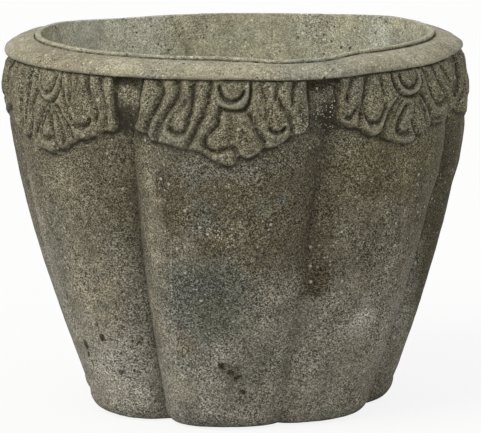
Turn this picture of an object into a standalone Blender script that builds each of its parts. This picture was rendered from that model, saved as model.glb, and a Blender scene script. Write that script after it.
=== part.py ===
"""A round stone planter: a pot of seven lobes, its coping ring, its lining and its leaves.

Units are metres, +Z is up, and the origin is the middle of the foot, on the ground. The
crown of the front lobe faces -Y at the rim. Angles around the pot run from -Y towards +X.
"""

import math

import bmesh
import bpy
from mathutils import Matrix, Vector

# Driving dimensions
RIM_RADIUS = 0.280
TOTAL_HEIGHT = 0.460
FOOT_RADIUS = 0.184
LOBES = 7
BED_GAP = 0.0003

# Coping ring round the mouth
RIM_HEIGHT = 0.0190
RIM_EDGE_HEIGHT = 0.0035
RIM_ROUND_WIDTH = 0.029
RIM_UNDERCUT = 0.0012
JOINT_CHAMFER = 0.0015
TONGUE_WIDTH = 0.006
TONGUE_HEIGHT = 0.006

# Body: crowns of the lobes
CROWN_PROUD = 0.0025
CROWN_TUCK = 0.0105
WIDEST_DROP = 0.0665
SWELL_POWER = 1.5
FOOT_ROUND = 0.027

# Body: valleys between the lobes, which lean a little from the rim to the foot
VALLEY_DEPTH_FOOT = 0.0342
VALLEY_DEPTH_MIDDLE = 0.0337
VALLEY_DEPTH_RIM = 0.0207
VALLEY_SHARPNESS = 2.9
LOBE_LEAN = math.radians(6.5)
STOP_DROP = 0.028
STOP_HEIGHT = 0.045
STOP_DEPTH_SHARE = 0.55

# Body: wall, floor and drain
WALL_FOOT = 0.032
WALL_RIM = 0.017
FLOOR_THICKNESS = 0.045
FLOOR_ROUND = 0.018
DRAIN_RADIUS = 0.016

# Lining and its lip
LINING_WALL = 0.007
LINING_FLOOR = 0.010
LIP_RISE = 0.0045
LIP_ROUND = 0.0015

# Leaves, one on each lobe
LEAF_SPACING = 0.0375
LEAF_LENGTH = 0.101
LEAF_RELIEF = 0.0078
LEAF_GROUND = 0.0032
SCALLOP_DEPTH = 0.006
SCROLL_RADIUS = 0.020
SCROLL_BOSS_RADIUS = 0.0125
SCROLL_GROOVE_WIDTH = 0.0025
SCROLL_RISE = 0.0035
SCROLL_DROP = 0.0143
SCROLL_ACROSS_SHARE = 0.10
PEG_RADIUS = 0.009
PEG_LENGTH = 0.012
PEG_DROP = 0.050

# Strands of a leaf, from its left to its right edge: where each starts under the ring and
# ends, as a share of half the leaf's width, and how far down it ends, of the leaf's length
STRAND_SHARES = (
    (-0.787, -0.917, 0.62),
    (-0.577, -0.750, 0.74),
    (-0.377, -0.560, 0.81),
    (-0.218, -0.370, 0.85),
    (-0.060, -0.130, 0.93),
    (0.090, 0.090, 1.00),
    (0.240, 0.300, 0.91),
    (0.460, 0.530, 0.78),
    (0.660, 0.730, 0.70),
    (0.850, 0.910, 0.60),
)
# Rows down a strand, as shares of its length, with the share of the full relief in each
ROW_SHARES = ((0.0, 0.75), (0.28, 0.95), (0.62, 1.0), (0.89, 0.95), (1.0, 0.55))
# Columns across a strand, as shares of its width, with the share of the crest's height
COLUMN_SHARES = ((0.0, 0.0), (0.22, 0.8), (0.5, 1.0), (0.78, 0.8))

# How finely curved shapes are faceted
SEGMENTS_PER_LOBE = 10
WALL_ROWS = 8
SHOULDER_ROWS = 4
FOOT_STEPS = 3
FLOOR_STEPS = 2
EDGE_STEPS = 5
CAVITY_ROWS = 3
SCROLL_SEGMENTS = 12
PEG_SEGMENTS = 12

# How far a cutting shape runs past what it cuts
OVERRUN = 0.004

# Edges sharper than this stay crisp when a piece is shaded smooth
SMOOTH_ANGLE = math.radians(38)

# Heights and radii that follow from the sizes above
BODY_HEIGHT = TOTAL_HEIGHT - LIP_RISE - RIM_HEIGHT
WIDEST_HEIGHT = BODY_HEIGHT - WIDEST_DROP
CROWN_RADIUS = RIM_RADIUS + CROWN_PROUD
LOBE_ANGLE = 2 * math.pi / LOBES
LEAF_HALF_ANGLE = (LOBE_ANGLE - LEAF_SPACING / CROWN_RADIUS) / 2

# Colours are linear, each with its roughness
BODY_STONE = ((0.145, 0.132, 0.097), 0.93)
RIM_STONE = ((0.330, 0.310, 0.232), 0.92)
LINING_STONE = ((0.275, 0.262, 0.195), 0.94)
LEAF_STONE = ((0.135, 0.122, 0.083), 0.93)


def clear_scene():
    for obj in list(bpy.data.objects):
        bpy.data.objects.remove(obj, do_unlink=True)


def stone_material(name, finish):
    """A dull stone of one colour."""
    colour, roughness = finish
    material = bpy.data.materials.new(name)
    material.use_nodes = True
    shader = material.node_tree.nodes["Principled BSDF"]
    shader.inputs["Base Color"].default_value = (*colour, 1.0)
    shader.inputs["Roughness"].default_value = roughness
    shader.inputs["Metallic"].default_value = 0.0
    material.diffuse_color = (*colour, 1.0)
    return material


def mix(first, second, share):
    return first + (second - first) * share


def smooth_step(value):
    value = min(max(value, 0.0), 1.0)
    return value * value * (3 - 2 * value)


def bell_radius(height):
    """Radius of the crowns at a height, before they draw in under the ring."""
    left = max(1 - height / WIDEST_HEIGHT, 0.0)
    return CROWN_RADIUS - (CROWN_RADIUS - FOOT_RADIUS) * left**SWELL_POWER


def crown_radius(height):
    """Radius of the crowns at a height, drawn in under the ring."""
    above = max((height - WIDEST_HEIGHT) / WIDEST_DROP, 0.0)
    return bell_radius(height) - CROWN_TUCK * above**2


def valley_depth(height):
    """Depth of the valleys: a smooth curve through the depths at foot, middle and rim."""
    up = height / BODY_HEIGHT
    foot = VALLEY_DEPTH_FOOT * (1 - up) * (1 - 2 * up)
    middle = 4 * VALLEY_DEPTH_MIDDLE * up * (1 - up)
    return foot + middle + VALLEY_DEPTH_RIM * up * (2 * up - 1)


def stopped_depth(height):
    """Depth of the valleys with the stop that closes them under the ring."""
    stop = smooth_step((height - BODY_HEIGHT + STOP_DROP + STOP_HEIGHT) / STOP_HEIGHT)
    return valley_depth(height) * mix(1.0, STOP_DEPTH_SHARE, stop)


def lobe_turn(height):
    """Angle of the front lobe's crown, which leans to the left towards the foot."""
    return -LOBE_LEAN * max(1 - height / BODY_HEIGHT, 0.0)


def across_lobe(angle, height):
    """Where an angle lies across its lobe: 0 at the crown, 1 at a valley."""
    turned = (angle - lobe_turn(height)) / LOBE_ANGLE
    return abs(2 * (turned - round(turned)))


def body_radius(angle, height):
    """Radius of the pot's outside at an angle and a height."""
    dip = across_lobe(angle, height) ** VALLEY_SHARPNESS
    return crown_radius(height) - stopped_depth(height) * dip


def cavity_radius(height):
    """Radius of the round hollow in the stone, a wall's thickness inside the valleys."""
    wall = mix(WALL_FOOT, WALL_RIM, height / BODY_HEIGHT)
    return bell_radius(height) - valley_depth(height) - wall


def place(angle, radius, height):
    return Vector((radius * math.sin(angle), -radius * math.cos(angle), height))


def station(height, radius, depth=0.0):
    """One ring of a turned piece: its height, its radius and its valleys' depth."""
    return height, radius, depth


def shade(mesh):
    mesh.shade_smooth()
    mesh.set_sharp_from_angle(angle=SMOOTH_ANGLE)


def new_object(name, shape, material):
    """An object from a bmesh, with its faces outwards."""
    bmesh.ops.recalc_face_normals(shape, faces=shape.faces)
    mesh = bpy.data.meshes.new(name)
    shape.to_mesh(mesh)
    shape.free()
    shade(mesh)
    obj = bpy.data.objects.new(name, mesh)
    bpy.context.scene.collection.objects.link(obj)
    if material:
        mesh.materials.append(material)
    return obj


def turned_shape(stations):
    """A closed ring whose section runs through the stations, lobed where they say so."""
    shape = bmesh.new()
    count = LOBES * SEGMENTS_PER_LOBE
    rings = []
    for height, radius, depth in stations:
        ring = []
        for index in range(count):
            angle = lobe_turn(height) + index * LOBE_ANGLE / SEGMENTS_PER_LOBE
            dip = across_lobe(angle, height) ** VALLEY_SHARPNESS if depth else 0.0
            ring.append(shape.verts.new(place(angle, radius - depth * dip, height)))
        rings.append(ring)
    for lower, upper in zip(rings, rings[1:] + rings[:1]):
        for index in range(count):
            after = (index + 1) % count
            shape.faces.new((lower[index], lower[after], upper[after]))
            shape.faces.new((lower[index], upper[after], upper[index]))
    return shape


def outer_wall(offset=0.0):
    """Stations up the pot's outside, from its rounded foot to its top."""
    stations = []
    for step in range(FOOT_STEPS):
        turn = math.pi / 2 * step / FOOT_STEPS
        height = FOOT_ROUND * (1 - math.cos(turn))
        radius = crown_radius(FOOT_ROUND) - FOOT_ROUND * (1 - math.sin(turn))
        stations.append(station(height, radius + offset, valley_depth(height)))
    for row in range(WALL_ROWS):
        height = mix(FOOT_ROUND, WIDEST_HEIGHT, row / WALL_ROWS)
        stations.append(station(height, crown_radius(height) + offset, stopped_depth(height)))
    for row in range(SHOULDER_ROWS + 1):
        height = mix(WIDEST_HEIGHT, BODY_HEIGHT, row / SHOULDER_ROWS)
        stations.append(station(height, crown_radius(height) + offset, stopped_depth(height)))
    return stations


def cavity_wall(inset, floor_height, top_height, floor_round):
    """Stations down the inside of the hollow, from its top to its rounded floor."""
    stations = []
    corner_height = floor_height + floor_round
    for row in range(CAVITY_ROWS + 1):
        height = mix(BODY_HEIGHT, corner_height, row / CAVITY_ROWS)
        radius = cavity_radius(height) - inset
        stations.append(station(top_height if row == 0 else height, radius))
    corner_radius = cavity_radius(corner_height) - inset
    for step in range(1, FLOOR_STEPS + 1):
        turn = math.pi / 2 * step / FLOOR_STEPS
        height = corner_height - floor_round * math.sin(turn)
        stations.append(station(height, corner_radius - floor_round * (1 - math.cos(turn))))
    return stations


def apply_boolean(obj, other, operation):
    """Cuts a shape from an object or joins one to it, and removes the other shape."""
    other.hide_render = True
    other.display_type = "WIRE"
    modifier = obj.modifiers.new(operation.lower(), "BOOLEAN")
    modifier.operation = operation
    modifier.solver = "EXACT"
    modifier.object = other
    graph = bpy.context.evaluated_depsgraph_get()
    result = bpy.data.meshes.new_from_object(obj.evaluated_get(graph))
    obj.modifiers.clear()
    obj.data = result
    bpy.data.objects.remove(other, do_unlink=True)


def radial_cylinder(name, radius, start, end, angle, height, segments):
    """A round bar along a radius of the pot, between two distances from its axis."""
    shape = bmesh.new()
    bmesh.ops.create_cone(
        shape,
        cap_ends=True,
        segments=segments,
        radius1=radius,
        radius2=radius,
        depth=end - start,
    )
    middle = place(angle, (start + end) / 2, height)
    outward = place(angle, 1.0, 0.0)
    turn = outward.to_track_quat("Z", "Y").to_matrix().to_4x4()
    bmesh.ops.transform(shape, matrix=Matrix.Translation(middle) @ turn, verts=shape.verts)
    return new_object(name, shape, None)


def tongue_radii(clearance):
    """Inner and outer radius of the tongue on the body's top edge, or of its groove."""
    middle = cavity_radius(BODY_HEIGHT) + WALL_RIM / 2
    half = TONGUE_WIDTH / 2 + clearance
    return middle - half, middle + half


def make_body():
    """The lobed pot with its floor, its drain hole, its tongue and the leaves' sockets."""
    tongue_inner, tongue_outer = tongue_radii(0.0)
    tongue_top = BODY_HEIGHT + TONGUE_HEIGHT
    stations = [station(0.0, DRAIN_RADIUS)]
    stations += outer_wall()
    stations.append(station(BODY_HEIGHT, tongue_outer))
    stations.append(station(tongue_top, tongue_outer))
    stations.append(station(tongue_top, tongue_inner))
    stations.append(station(BODY_HEIGHT, tongue_inner))
    stations += cavity_wall(0.0, FLOOR_THICKNESS, BODY_HEIGHT, FLOOR_ROUND)
    stations.append(station(FLOOR_THICKNESS, DRAIN_RADIUS))
    body = new_object("body", turned_shape(stations), stone_material("body_stone", BODY_STONE))
    height = BODY_HEIGHT - PEG_DROP
    face = crown_radius(height)
    for lobe in range(LOBES):
        angle = lobe_turn(height) + lobe * LOBE_ANGLE
        start, end = face - PEG_LENGTH - BED_GAP, face + OVERRUN
        radius = PEG_RADIUS + BED_GAP
        socket = radial_cylinder("socket", radius, start, end, angle, height, PEG_SEGMENTS)
        apply_boolean(body, socket, "DIFFERENCE")
    return body


def make_rim_band():
    """The coping ring: a quarter-round edge, a flat top and a groove for the tongue."""
    bottom = BODY_HEIGHT + BED_GAP
    top = TOTAL_HEIGHT - LIP_RISE
    inner = cavity_radius(BODY_HEIGHT) + BED_GAP
    groove_inner, groove_outer = tongue_radii(BED_GAP)
    groove_top = BODY_HEIGHT + TONGUE_HEIGHT + BED_GAP
    edge_top = bottom + RIM_EDGE_HEIGHT
    stations = [
        station(bottom, inner),
        station(bottom, groove_inner),
        station(groove_top, groove_inner),
        station(groove_top, groove_outer),
        station(bottom, groove_outer),
        station(bottom, RIM_RADIUS - RIM_UNDERCUT),
    ]
    for step in range(EDGE_STEPS + 1):
        turn = math.pi / 2 * step / EDGE_STEPS
        height = edge_top + (top - edge_top) * math.sin(turn)
        stations.append(station(height, RIM_RADIUS - RIM_ROUND_WIDTH * (1 - math.cos(turn))))
    stations.append(station(top, inner + JOINT_CHAMFER))
    stations.append(station(top - JOINT_CHAMFER, inner))
    return new_object(
        "rim_band", turned_shape(stations), stone_material("rim_stone", RIM_STONE)
    )


def make_inner_lining():
    """The lining of the hollow, with the lip that stands above the coping ring."""
    outside = cavity_wall(BED_GAP, FLOOR_THICKNESS + BED_GAP, BODY_HEIGHT, FLOOR_ROUND)
    floor = FLOOR_THICKNESS + BED_GAP + LINING_FLOOR
    corner = max(FLOOR_ROUND - LINING_WALL, LIP_ROUND)
    lip_foot = TOTAL_HEIGHT - LIP_ROUND
    inside = cavity_wall(BED_GAP + LINING_WALL, floor, lip_foot, corner)
    lip_outer = cavity_radius(BODY_HEIGHT) - BED_GAP
    lip_inner = lip_outer - LINING_WALL
    stations = list(reversed(outside))
    stations.append(station(lip_foot, lip_outer))
    stations.append(station(TOTAL_HEIGHT, lip_outer - LIP_ROUND))
    stations.append(station(TOTAL_HEIGHT, lip_inner + LIP_ROUND))
    stations += inside
    stations.append(station(floor, DRAIN_RADIUS))
    stations.append(station(FLOOR_THICKNESS + BED_GAP, DRAIN_RADIUS))
    return new_object(
        "inner_lining", turned_shape(stations), stone_material("lining_stone", LINING_STONE)
    )


def leaf_columns():
    """Columns across a leaf: start and end across, length and height share of each."""
    starts = [start for start, _, _ in STRAND_SHARES]
    ends = [end for _, end, _ in STRAND_SHARES]
    lengths = [length for _, _, length in STRAND_SHARES]
    start_edges = [-1.0] + [(a + b) / 2 for a, b in zip(starts, starts[1:])] + [1.0]
    end_edges = [-1.0] + [(a + b) / 2 for a, b in zip(ends, ends[1:])] + [1.0]
    edge_lengths = [lengths[0]] + [min(a, b) for a, b in zip(lengths, lengths[1:])] + [lengths[-1]]
    columns = []
    for index, length in enumerate(lengths):
        for across, crest in COLUMN_SHARES:
            start = mix(start_edges[index], start_edges[index + 1], across)
            end = mix(end_edges[index], end_edges[index + 1], across)
            side = edge_lengths[index] if across < 0.5 else edge_lengths[index + 1]
            reach = mix(side * LEAF_LENGTH - SCALLOP_DEPTH, length * LEAF_LENGTH, crest)
            columns.append((start, end, reach, crest))
    last = edge_lengths[-1] * LEAF_LENGTH - SCALLOP_DEPTH
    columns.append((start_edges[-1], end_edges[-1], last, 0.0))
    return columns


def leaf_blank():
    """A leaf's carved front on a thick back that reaches into the lobe."""
    shape = bmesh.new()
    fronts, backs = [], []
    for start, end, reach, crest in leaf_columns():
        front, back = [], []
        for down, relief in ROW_SHARES:
            height = BODY_HEIGHT + OVERRUN - (reach + OVERRUN) * down
            turn = mix(start, end, down) * LEAF_HALF_ANGLE
            angle = lobe_turn(height) + turn
            face = body_radius(angle, min(height, BODY_HEIGHT))
            rise = mix(LEAF_GROUND, LEAF_RELIEF, crest) * relief
            front.append(shape.verts.new(place(angle, face + rise, height)))
            back.append(shape.verts.new(place(angle, face - OVERRUN, height)))
        fronts.append(front)
        backs.append(back)
    last_row = len(ROW_SHARES) - 1
    for column in range(len(fronts) - 1):
        left, right = fronts[column], fronts[column + 1]
        left_back, right_back = backs[column], backs[column + 1]
        for row in range(last_row):
            shape.faces.new((left[row], left[row + 1], right[row + 1], right[row]))
            shape.faces.new(
                (left_back[row], right_back[row], right_back[row + 1], left_back[row + 1])
            )
        shape.faces.new((left[0], right[0], right_back[0], left_back[0]))
        shape.faces.new(
            (left[last_row], left_back[last_row], right_back[last_row], right[last_row])
        )
    for front, back in ((fronts[0], backs[0]), (fronts[-1], backs[-1])):
        for row in range(last_row):
            shape.faces.new((front[row], back[row], back[row + 1], front[row + 1]))
    return new_object("leaf_blank", shape, None)


def leaf_scroll():
    """The round boss near a leaf's top, in a groove, with a raised ring round it."""
    height = BODY_HEIGHT - SCROLL_DROP
    angle = lobe_turn(height) + SCROLL_ACROSS_SHARE * LEAF_HALF_ANGLE
    face = body_radius(angle, height)
    low = (LEAF_GROUND + LEAF_RELIEF) / 2
    groove_radius = SCROLL_BOSS_RADIUS + SCROLL_GROOVE_WIDTH
    section = (
        (SCROLL_RADIUS, -OVERRUN),
        (SCROLL_RADIUS, low),
        ((SCROLL_RADIUS + groove_radius) / 2, LEAF_RELIEF + SCROLL_RISE / 2),
        (groove_radius, low),
        (SCROLL_BOSS_RADIUS, low),
        (SCROLL_BOSS_RADIUS / 2, LEAF_RELIEF + SCROLL_RISE),
    )
    shape = bmesh.new()
    rings = []
    for radius, rise in section:
        ring = []
        for index in range(SCROLL_SEGMENTS):
            turn = 2 * math.pi * index / SCROLL_SEGMENTS
            side = radius * math.cos(turn)
            up = radius * math.sin(turn)
            ring.append(shape.verts.new((side, -rise, up)))
        rings.append(ring)
    for inner, outer in zip(rings, rings[1:]):
        for index in range(SCROLL_SEGMENTS):
            after = (index + 1) % SCROLL_SEGMENTS
            shape.faces.new((inner[index], inner[after], outer[after], outer[index]))
    shape.faces.new(rings[0])
    shape.faces.new(rings[-1])
    turn = Matrix.Rotation(angle, 4, "Z")
    spot = Matrix.Translation(place(angle, face, height))
    bmesh.ops.transform(shape, matrix=spot @ turn, verts=shape.verts)
    return new_object("scroll", shape, None)


def leaf_seat():
    """What a leaf is cut to: the pot's outside with its bed, and the ring above it."""
    reach = RIM_RADIUS + RIM_ROUND_WIDTH
    stations = [station(0.0, DRAIN_RADIUS)]
    stations += outer_wall(BED_GAP)
    stations.append(station(BODY_HEIGHT, reach))
    stations.append(station(BODY_HEIGHT + RIM_ROUND_WIDTH, reach))
    stations.append(station(BODY_HEIGHT + RIM_ROUND_WIDTH, DRAIN_RADIUS))
    return new_object("leaf_seat", turned_shape(stations), None)


def make_leaves():
    """The leaves: one mesh, cut to its lobe, given its peg and turned to each lobe."""
    leaf = leaf_blank()
    apply_boolean(leaf, leaf_scroll(), "UNION")
    apply_boolean(leaf, leaf_seat(), "DIFFERENCE")
    height = BODY_HEIGHT - PEG_DROP
    face = crown_radius(height)
    start, end = face - PEG_LENGTH, face + BED_GAP + LEAF_GROUND / 2
    peg = radial_cylinder("peg", PEG_RADIUS, start, end, lobe_turn(height), height, PEG_SEGMENTS)
    apply_boolean(leaf, peg, "UNION")
    mesh = leaf.data
    bpy.data.objects.remove(leaf, do_unlink=True)
    shade(mesh)
    mesh.materials.clear()
    mesh.materials.append(stone_material("leaf_stone", LEAF_STONE))
    for lobe in range(LOBES):
        copy = bpy.data.objects.new(f"leaf_{lobe + 1}", mesh)
        copy.rotation_euler.z = lobe * LOBE_ANGLE
        bpy.context.scene.collection.objects.link(copy)


def main():
    clear_scene()
    make_body()
    make_rim_band()
    make_inner_lining()
    make_leaves()


main()
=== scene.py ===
"""A round stone planter: a pot of seven lobes, its coping ring, its lining and its leaves.

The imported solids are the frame. Each gets a finished piece in its place: the pot, the ring
and the lining are turned from their sections by Geometry Nodes, and each leaf is carved flat
and then laid on its lobe. Units are metres, +Z is up, the front lobe's crown faces -Y at the
rim, and angles run from -Y towards +X.
"""

import math

import bpy
import numpy as np
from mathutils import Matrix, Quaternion, Vector


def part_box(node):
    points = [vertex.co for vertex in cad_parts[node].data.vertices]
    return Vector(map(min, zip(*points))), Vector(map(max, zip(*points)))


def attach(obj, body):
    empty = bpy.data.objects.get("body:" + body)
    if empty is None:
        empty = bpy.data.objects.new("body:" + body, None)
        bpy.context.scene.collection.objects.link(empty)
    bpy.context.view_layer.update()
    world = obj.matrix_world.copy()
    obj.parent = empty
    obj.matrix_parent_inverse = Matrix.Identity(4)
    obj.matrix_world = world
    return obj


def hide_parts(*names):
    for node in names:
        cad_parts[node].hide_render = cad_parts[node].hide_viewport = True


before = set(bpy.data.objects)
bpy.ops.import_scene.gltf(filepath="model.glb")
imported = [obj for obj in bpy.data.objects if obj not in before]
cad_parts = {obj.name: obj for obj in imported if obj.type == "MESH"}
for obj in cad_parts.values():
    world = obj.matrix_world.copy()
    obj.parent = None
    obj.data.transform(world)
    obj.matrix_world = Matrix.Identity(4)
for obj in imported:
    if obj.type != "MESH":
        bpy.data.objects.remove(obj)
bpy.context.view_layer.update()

bl_info = {
    "name": "Lobed stone planter",
    "version": (1, 0, 0),
    "blender": (4, 5, 0),
    "location": "3D View > Sidebar > Planter",
    "description": "Builds a round stone planter with lobes, a coping ring and carved leaves",
    "category": "Object",
}

MM = 0.001
BODY = "root"
LEAF_NAMES = ["leaf_%d" % (lobe + 1) for lobe in range(7)]

RING_LOW, RING_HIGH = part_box("rim_band")
LINING_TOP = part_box("inner_lining")[1].z
BED_GAP = 0.3 * MM


def length(name, description, default):
    """A size in metres."""
    return bpy.props.FloatProperty(
        name=name, description=description, default=default, unit="LENGTH", precision=5
    )


def share(name, description, default):
    """A plain number."""
    return bpy.props.FloatProperty(name=name, description=description, default=default)


def count(name, description, default):
    return bpy.props.IntProperty(name=name, description=description, default=default)


def angle(name, description, degrees):
    """An angle, given in degrees."""
    return bpy.props.FloatProperty(
        name=name, description=description, default=math.radians(degrees), subtype="ANGLE"
    )


def colour(name, description, default):
    """A linear colour."""
    return bpy.props.FloatVectorProperty(
        name=name, description=description, default=default, size=3, subtype="COLOR"
    )


class PlanterPot(bpy.types.PropertyGroup):
    """Sizes of the lobed pot."""

    rim_radius: length("Rim radius", "Radius of the coping ring", RING_HIGH.x)
    total_height: length("Height", "Height to the top of the lip", LINING_TOP)
    body_height: length("Pot height", "Height to the bed of the ring", RING_LOW.z - BED_GAP)
    foot_radius: length("Foot radius", "Radius of the crowns above the foot", 0.184)
    crown_proud: length("Crown proud", "How far the crowns pass the ring", 0.0025)
    crown_tuck: length("Crown tuck", "How far the crowns draw in under the ring", 0.0105)
    widest_drop: length("Widest drop", "How far under the ring the pot is widest", 0.0665)
    swell_power: share("Swell", "How the crowns curve outwards", 1.5)
    foot_round: length("Foot round", "Radius of the foot's edge", 0.027)
    lobes: count("Lobes", "Number of lobes", 7)
    valley_foot: length("Valley at the foot", "Depth of the valleys there", 0.0342)
    valley_middle: length("Valley half way", "Depth of the valleys there", 0.0337)
    valley_rim: length("Valley at the rim", "Depth of the valleys there", 0.0207)
    sharpness: share("Valley sharpness", "How sharp the valleys are", 2.9)
    lean: angle("Lean", "How far the lobes lean from rim to foot", 6.5)
    shallow_share: share("Shallow valley", "How much shallower the valley by lobe 2 is", 0.45)
    stop_drop: length("Stop drop", "Height of the stop in each valley", 0.028)
    stop_height: length("Stop run-out", "Height over which the stop fades", 0.045)
    stop_share: share("Stop depth", "Depth of a valley at its stop", 0.42)
    wall_foot: length("Wall at the foot", "Thickness of the wall there", 0.032)
    wall_rim: length("Wall at the rim", "Thickness of the wall there", 0.017)
    floor: length("Floor", "Thickness of the floor", 0.045)
    floor_round: length("Floor round", "Radius where wall and floor meet", 0.018)
    drain_radius: length("Drain", "Radius of the drain hole", 0.016)
    waviness: length("Waviness", "How uneven the wall is", 0.0011)
    unevenness: share("Unevenness", "Share of the sags and swellings of its shape", 1.0)
    columns: count("Columns", "Faces round it", 476)
    rows: count("Rows", "Faces up the wall", 176)


class PlanterRing(bpy.types.PropertyGroup):
    """Sizes of the coping ring and of the lining with its lip."""

    edge_height: length("Edge height", "Height of the ring's upright edge", 0.0035)
    round_width: length("Round width", "Width of the quarter-round edge", 0.029)
    undercut: length("Undercut", "How far the ring's underside is drawn in", 0.0012)
    chamfer: length("Joint chamfer", "Chamfer along the joint with the lip", 0.0015)
    lip_rise: length("Lip rise", "How far the lip stands above the ring", 0.0045)
    lip_round: length("Lip round", "Radius of the lip's edges", 0.0015)
    lining_wall: length("Lining wall", "Thickness of the lining's wall", 0.007)
    lining_floor: length("Lining floor", "Thickness of the lining's floor", 0.010)
    waviness: length("Waviness", "How uneven ring and lining are", 0.0010)
    columns: count("Columns", "Faces round it", 490)


class PlanterLeaf(bpy.types.PropertyGroup):
    """Sizes of the carved leaves."""

    relief: length("Relief", "How far the leaves stand out from the pot", 0.0082)
    ground: length("Ground", "How far the bottom of their lines stands out", 0.0004)
    edge_round: length("Edge round", "How wide the rounded edges are", 0.0038)
    line_share: share("Line width", "Share of the drawn width of the lines", 0.55)
    slope_share: share("Line slopes", "Share of the drawn width of their slopes", 1.75)
    back: length("Back", "How deep a leaf is let into the pot", 0.004)
    cell: length("Cell", "Distance between a leaf's points", 0.0009)


class PlanterColours(bpy.types.PropertyGroup):
    """Colours and grain of the stone."""

    body: colour("Pot", "Stone of the pot", (0.132, 0.120, 0.087))
    rim: colour("Ring", "Stone of the coping ring", (0.386, 0.364, 0.292))
    # The lining's colour is its stone's set paler, as painted light for the shade inside the pot
    lining: colour("Lining", "Stone of the lining", (0.448, 0.430, 0.340))
    leaf: colour("Leaves", "Stone of the leaves", (0.135, 0.122, 0.083))
    # Soil is also the colour of the painted shade and shadow that the pieces carry
    soil: colour("Soil", "Dirt in the hollows", (0.030, 0.026, 0.017))
    high_tint: colour("Tint above", "Tint of the stone under the ring", (0.92, 0.90, 0.80))
    low_tint: colour("Tint below", "Tint of the stone near the ground", (1.50, 1.53, 1.66))
    # Chalk also paints highlight on the leaves' crests
    chalk: colour("Chalk", "Pale grains and worn crests", (0.420, 0.400, 0.330))
    grain_size: length("Grain size", "Size of the sand grains", 0.0022)


class PlanterStage(bpy.types.PropertyGroup):
    """The camera, the lights and the floor."""

    distance: length("Distance", "From the camera to the pot", 5.6)
    azimuth: angle("Azimuth", "Angle of the camera round the pot", 1.004)
    elevation: angle("Elevation", "Angle of the camera above the ground", 9.503)
    roll: angle("Roll", "Roll of the camera", -0.341)
    aim_height: length("Aim height", "Height on the axis at which the camera aims", 0.2282)
    lens: share("Lens", "Focal length in millimetres", 339.66)
    shift_x: share("Shift across", "Sideways shift of the picture", 0.0094)
    shift_y: share("Shift up", "Upward shift of the picture", 0.0016)
    sun_strength: share("Sun", "Strength of the main light", 1.85)
    sky_strength: share("Sky", "Strength of the light from all sides", 0.72)
    floor_size: length("Floor size", "Half the width of the floor", 6.0)


# ---- Sockets and nodes as Python expressions


class Wire:
    """A socket on which Python's operators add Math nodes."""

    def __init__(self, graph, socket):
        self.graph = graph
        self.socket = socket

    def maths(self, operation, *others):
        return self.graph.maths(operation, self, *others)


def add_operator(name, operation):
    """Lets one of Python's operators add a Math node, with the wire on either side of it."""
    setattr(Wire, "__%s__" % name, lambda wire, other: wire.maths(operation, other))
    setattr(
        Wire, "__r%s__" % name, lambda wire, other: wire.graph.maths(operation, other, wire)
    )


for python_name, node_name in (
    ("add", "ADD"),
    ("sub", "SUBTRACT"),
    ("mul", "MULTIPLY"),
    ("truediv", "DIVIDE"),
    ("pow", "POWER"),
):
    add_operator(python_name, node_name)


class Graph:
    """Adds nodes to a tree: a node's settings come first, then its sockets."""

    def __init__(self, tree):
        self.tree = tree

    def node(self, kind, settings=None, sockets=None):
        made = self.tree.nodes.new(kind)
        for name, value in (settings or {}).items():
            setattr(made, name, value)
        for key, value in (sockets or {}).items():
            if isinstance(value, Wire):
                self.tree.links.new(value.socket, made.inputs[key])
            else:
                made.inputs[key].default_value = value
        return made

    def wire(self, kind, settings=None, sockets=None, output=0):
        return Wire(self, self.node(kind, settings, sockets).outputs[output])

    def maths(self, operation, *values, clamp=False):
        settings = {"operation": operation, "use_clamp": clamp}
        return self.wire("ShaderNodeMath", settings, dict(enumerate(values)))

    def clamped(self, value):
        return self.maths("ADD", value, 0.0, clamp=True)

    def ramp(self, value, low, high):
        """0 below the low value, 1 above the high one, and a smooth rise between them."""
        settings = {"interpolation_type": "SMOOTHSTEP"}
        return self.wire("ShaderNodeMapRange", settings, {0: value, 1: low, 2: high})

    def vector(self, operation, *values, **named):
        sockets = dict(enumerate(values))
        sockets.update(named)
        output = 1 if operation in ("LENGTH", "DOT_PRODUCT") else 0
        return self.wire("ShaderNodeVectorMath", {"operation": operation}, sockets, output)

    def axis(self, vector, number):
        """One coordinate of a vector."""
        return self.wire("ShaderNodeSeparateXYZ", None, {0: vector}, number)

    def blend(self, factor, first, second):
        """One colour mixed with another; each is a wire or a linear colour."""
        ends = [one if isinstance(one, Wire) else (*one, 1) for one in (first, second)]
        sockets = {0: factor, 6: ends[0], 7: ends[1]}
        settings = {"data_type": "RGBA", "blend_type": "MIX"}
        return self.wire("ShaderNodeMix", settings, sockets, 2)


class PieceGraph(Graph):
    """A Geometry Nodes tree with named inputs."""

    def __init__(self, name):
        super().__init__(bpy.data.node_groups.new(name, "GeometryNodeTree"))
        self.tree.is_modifier = True
        self.source = self.node("NodeGroupInput")

    def entry(self, name, kind="NodeSocketFloat"):
        self.tree.interface.new_socket(name=name, in_out="INPUT", socket_type=kind)
        return Wire(self, self.source.outputs[name])

    def named(self, name):
        """An attribute of the points, by its name."""
        settings = {"data_type": "FLOAT"}
        return self.wire("GeometryNodeInputNamedAttribute", settings, {"Name": name})

    def finish(self, geometry, stone):
        """Ends the tree: real faces, shaded smooth, in their stone."""
        real = self.wire("GeometryNodeRealizeInstances", None, {0: geometry})
        smooth = self.wire("GeometryNodeSetShadeSmooth", None, {0: real})
        stoned = self.wire("GeometryNodeSetMaterial", None, {0: smooth, "Material": stone})
        self.tree.interface.new_socket(
            name="Geometry", in_out="OUTPUT", socket_type="NodeSocketGeometry"
        )
        self.node("NodeGroupOutput", None, {0: stoned})
        return self.tree


# ---- Shape of the pot


def smooth_step(value):
    """A smooth rise from 0 to 1 while the value rises from 0 to 1."""
    value = np.clip(value, 0.0, 1.0)
    return value * value * (3 - 2 * value)


def shares(value, low, high):
    """How far a value is on its way from a low to a high one, which may be the smaller."""
    return (value - low) / (high - low)


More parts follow.
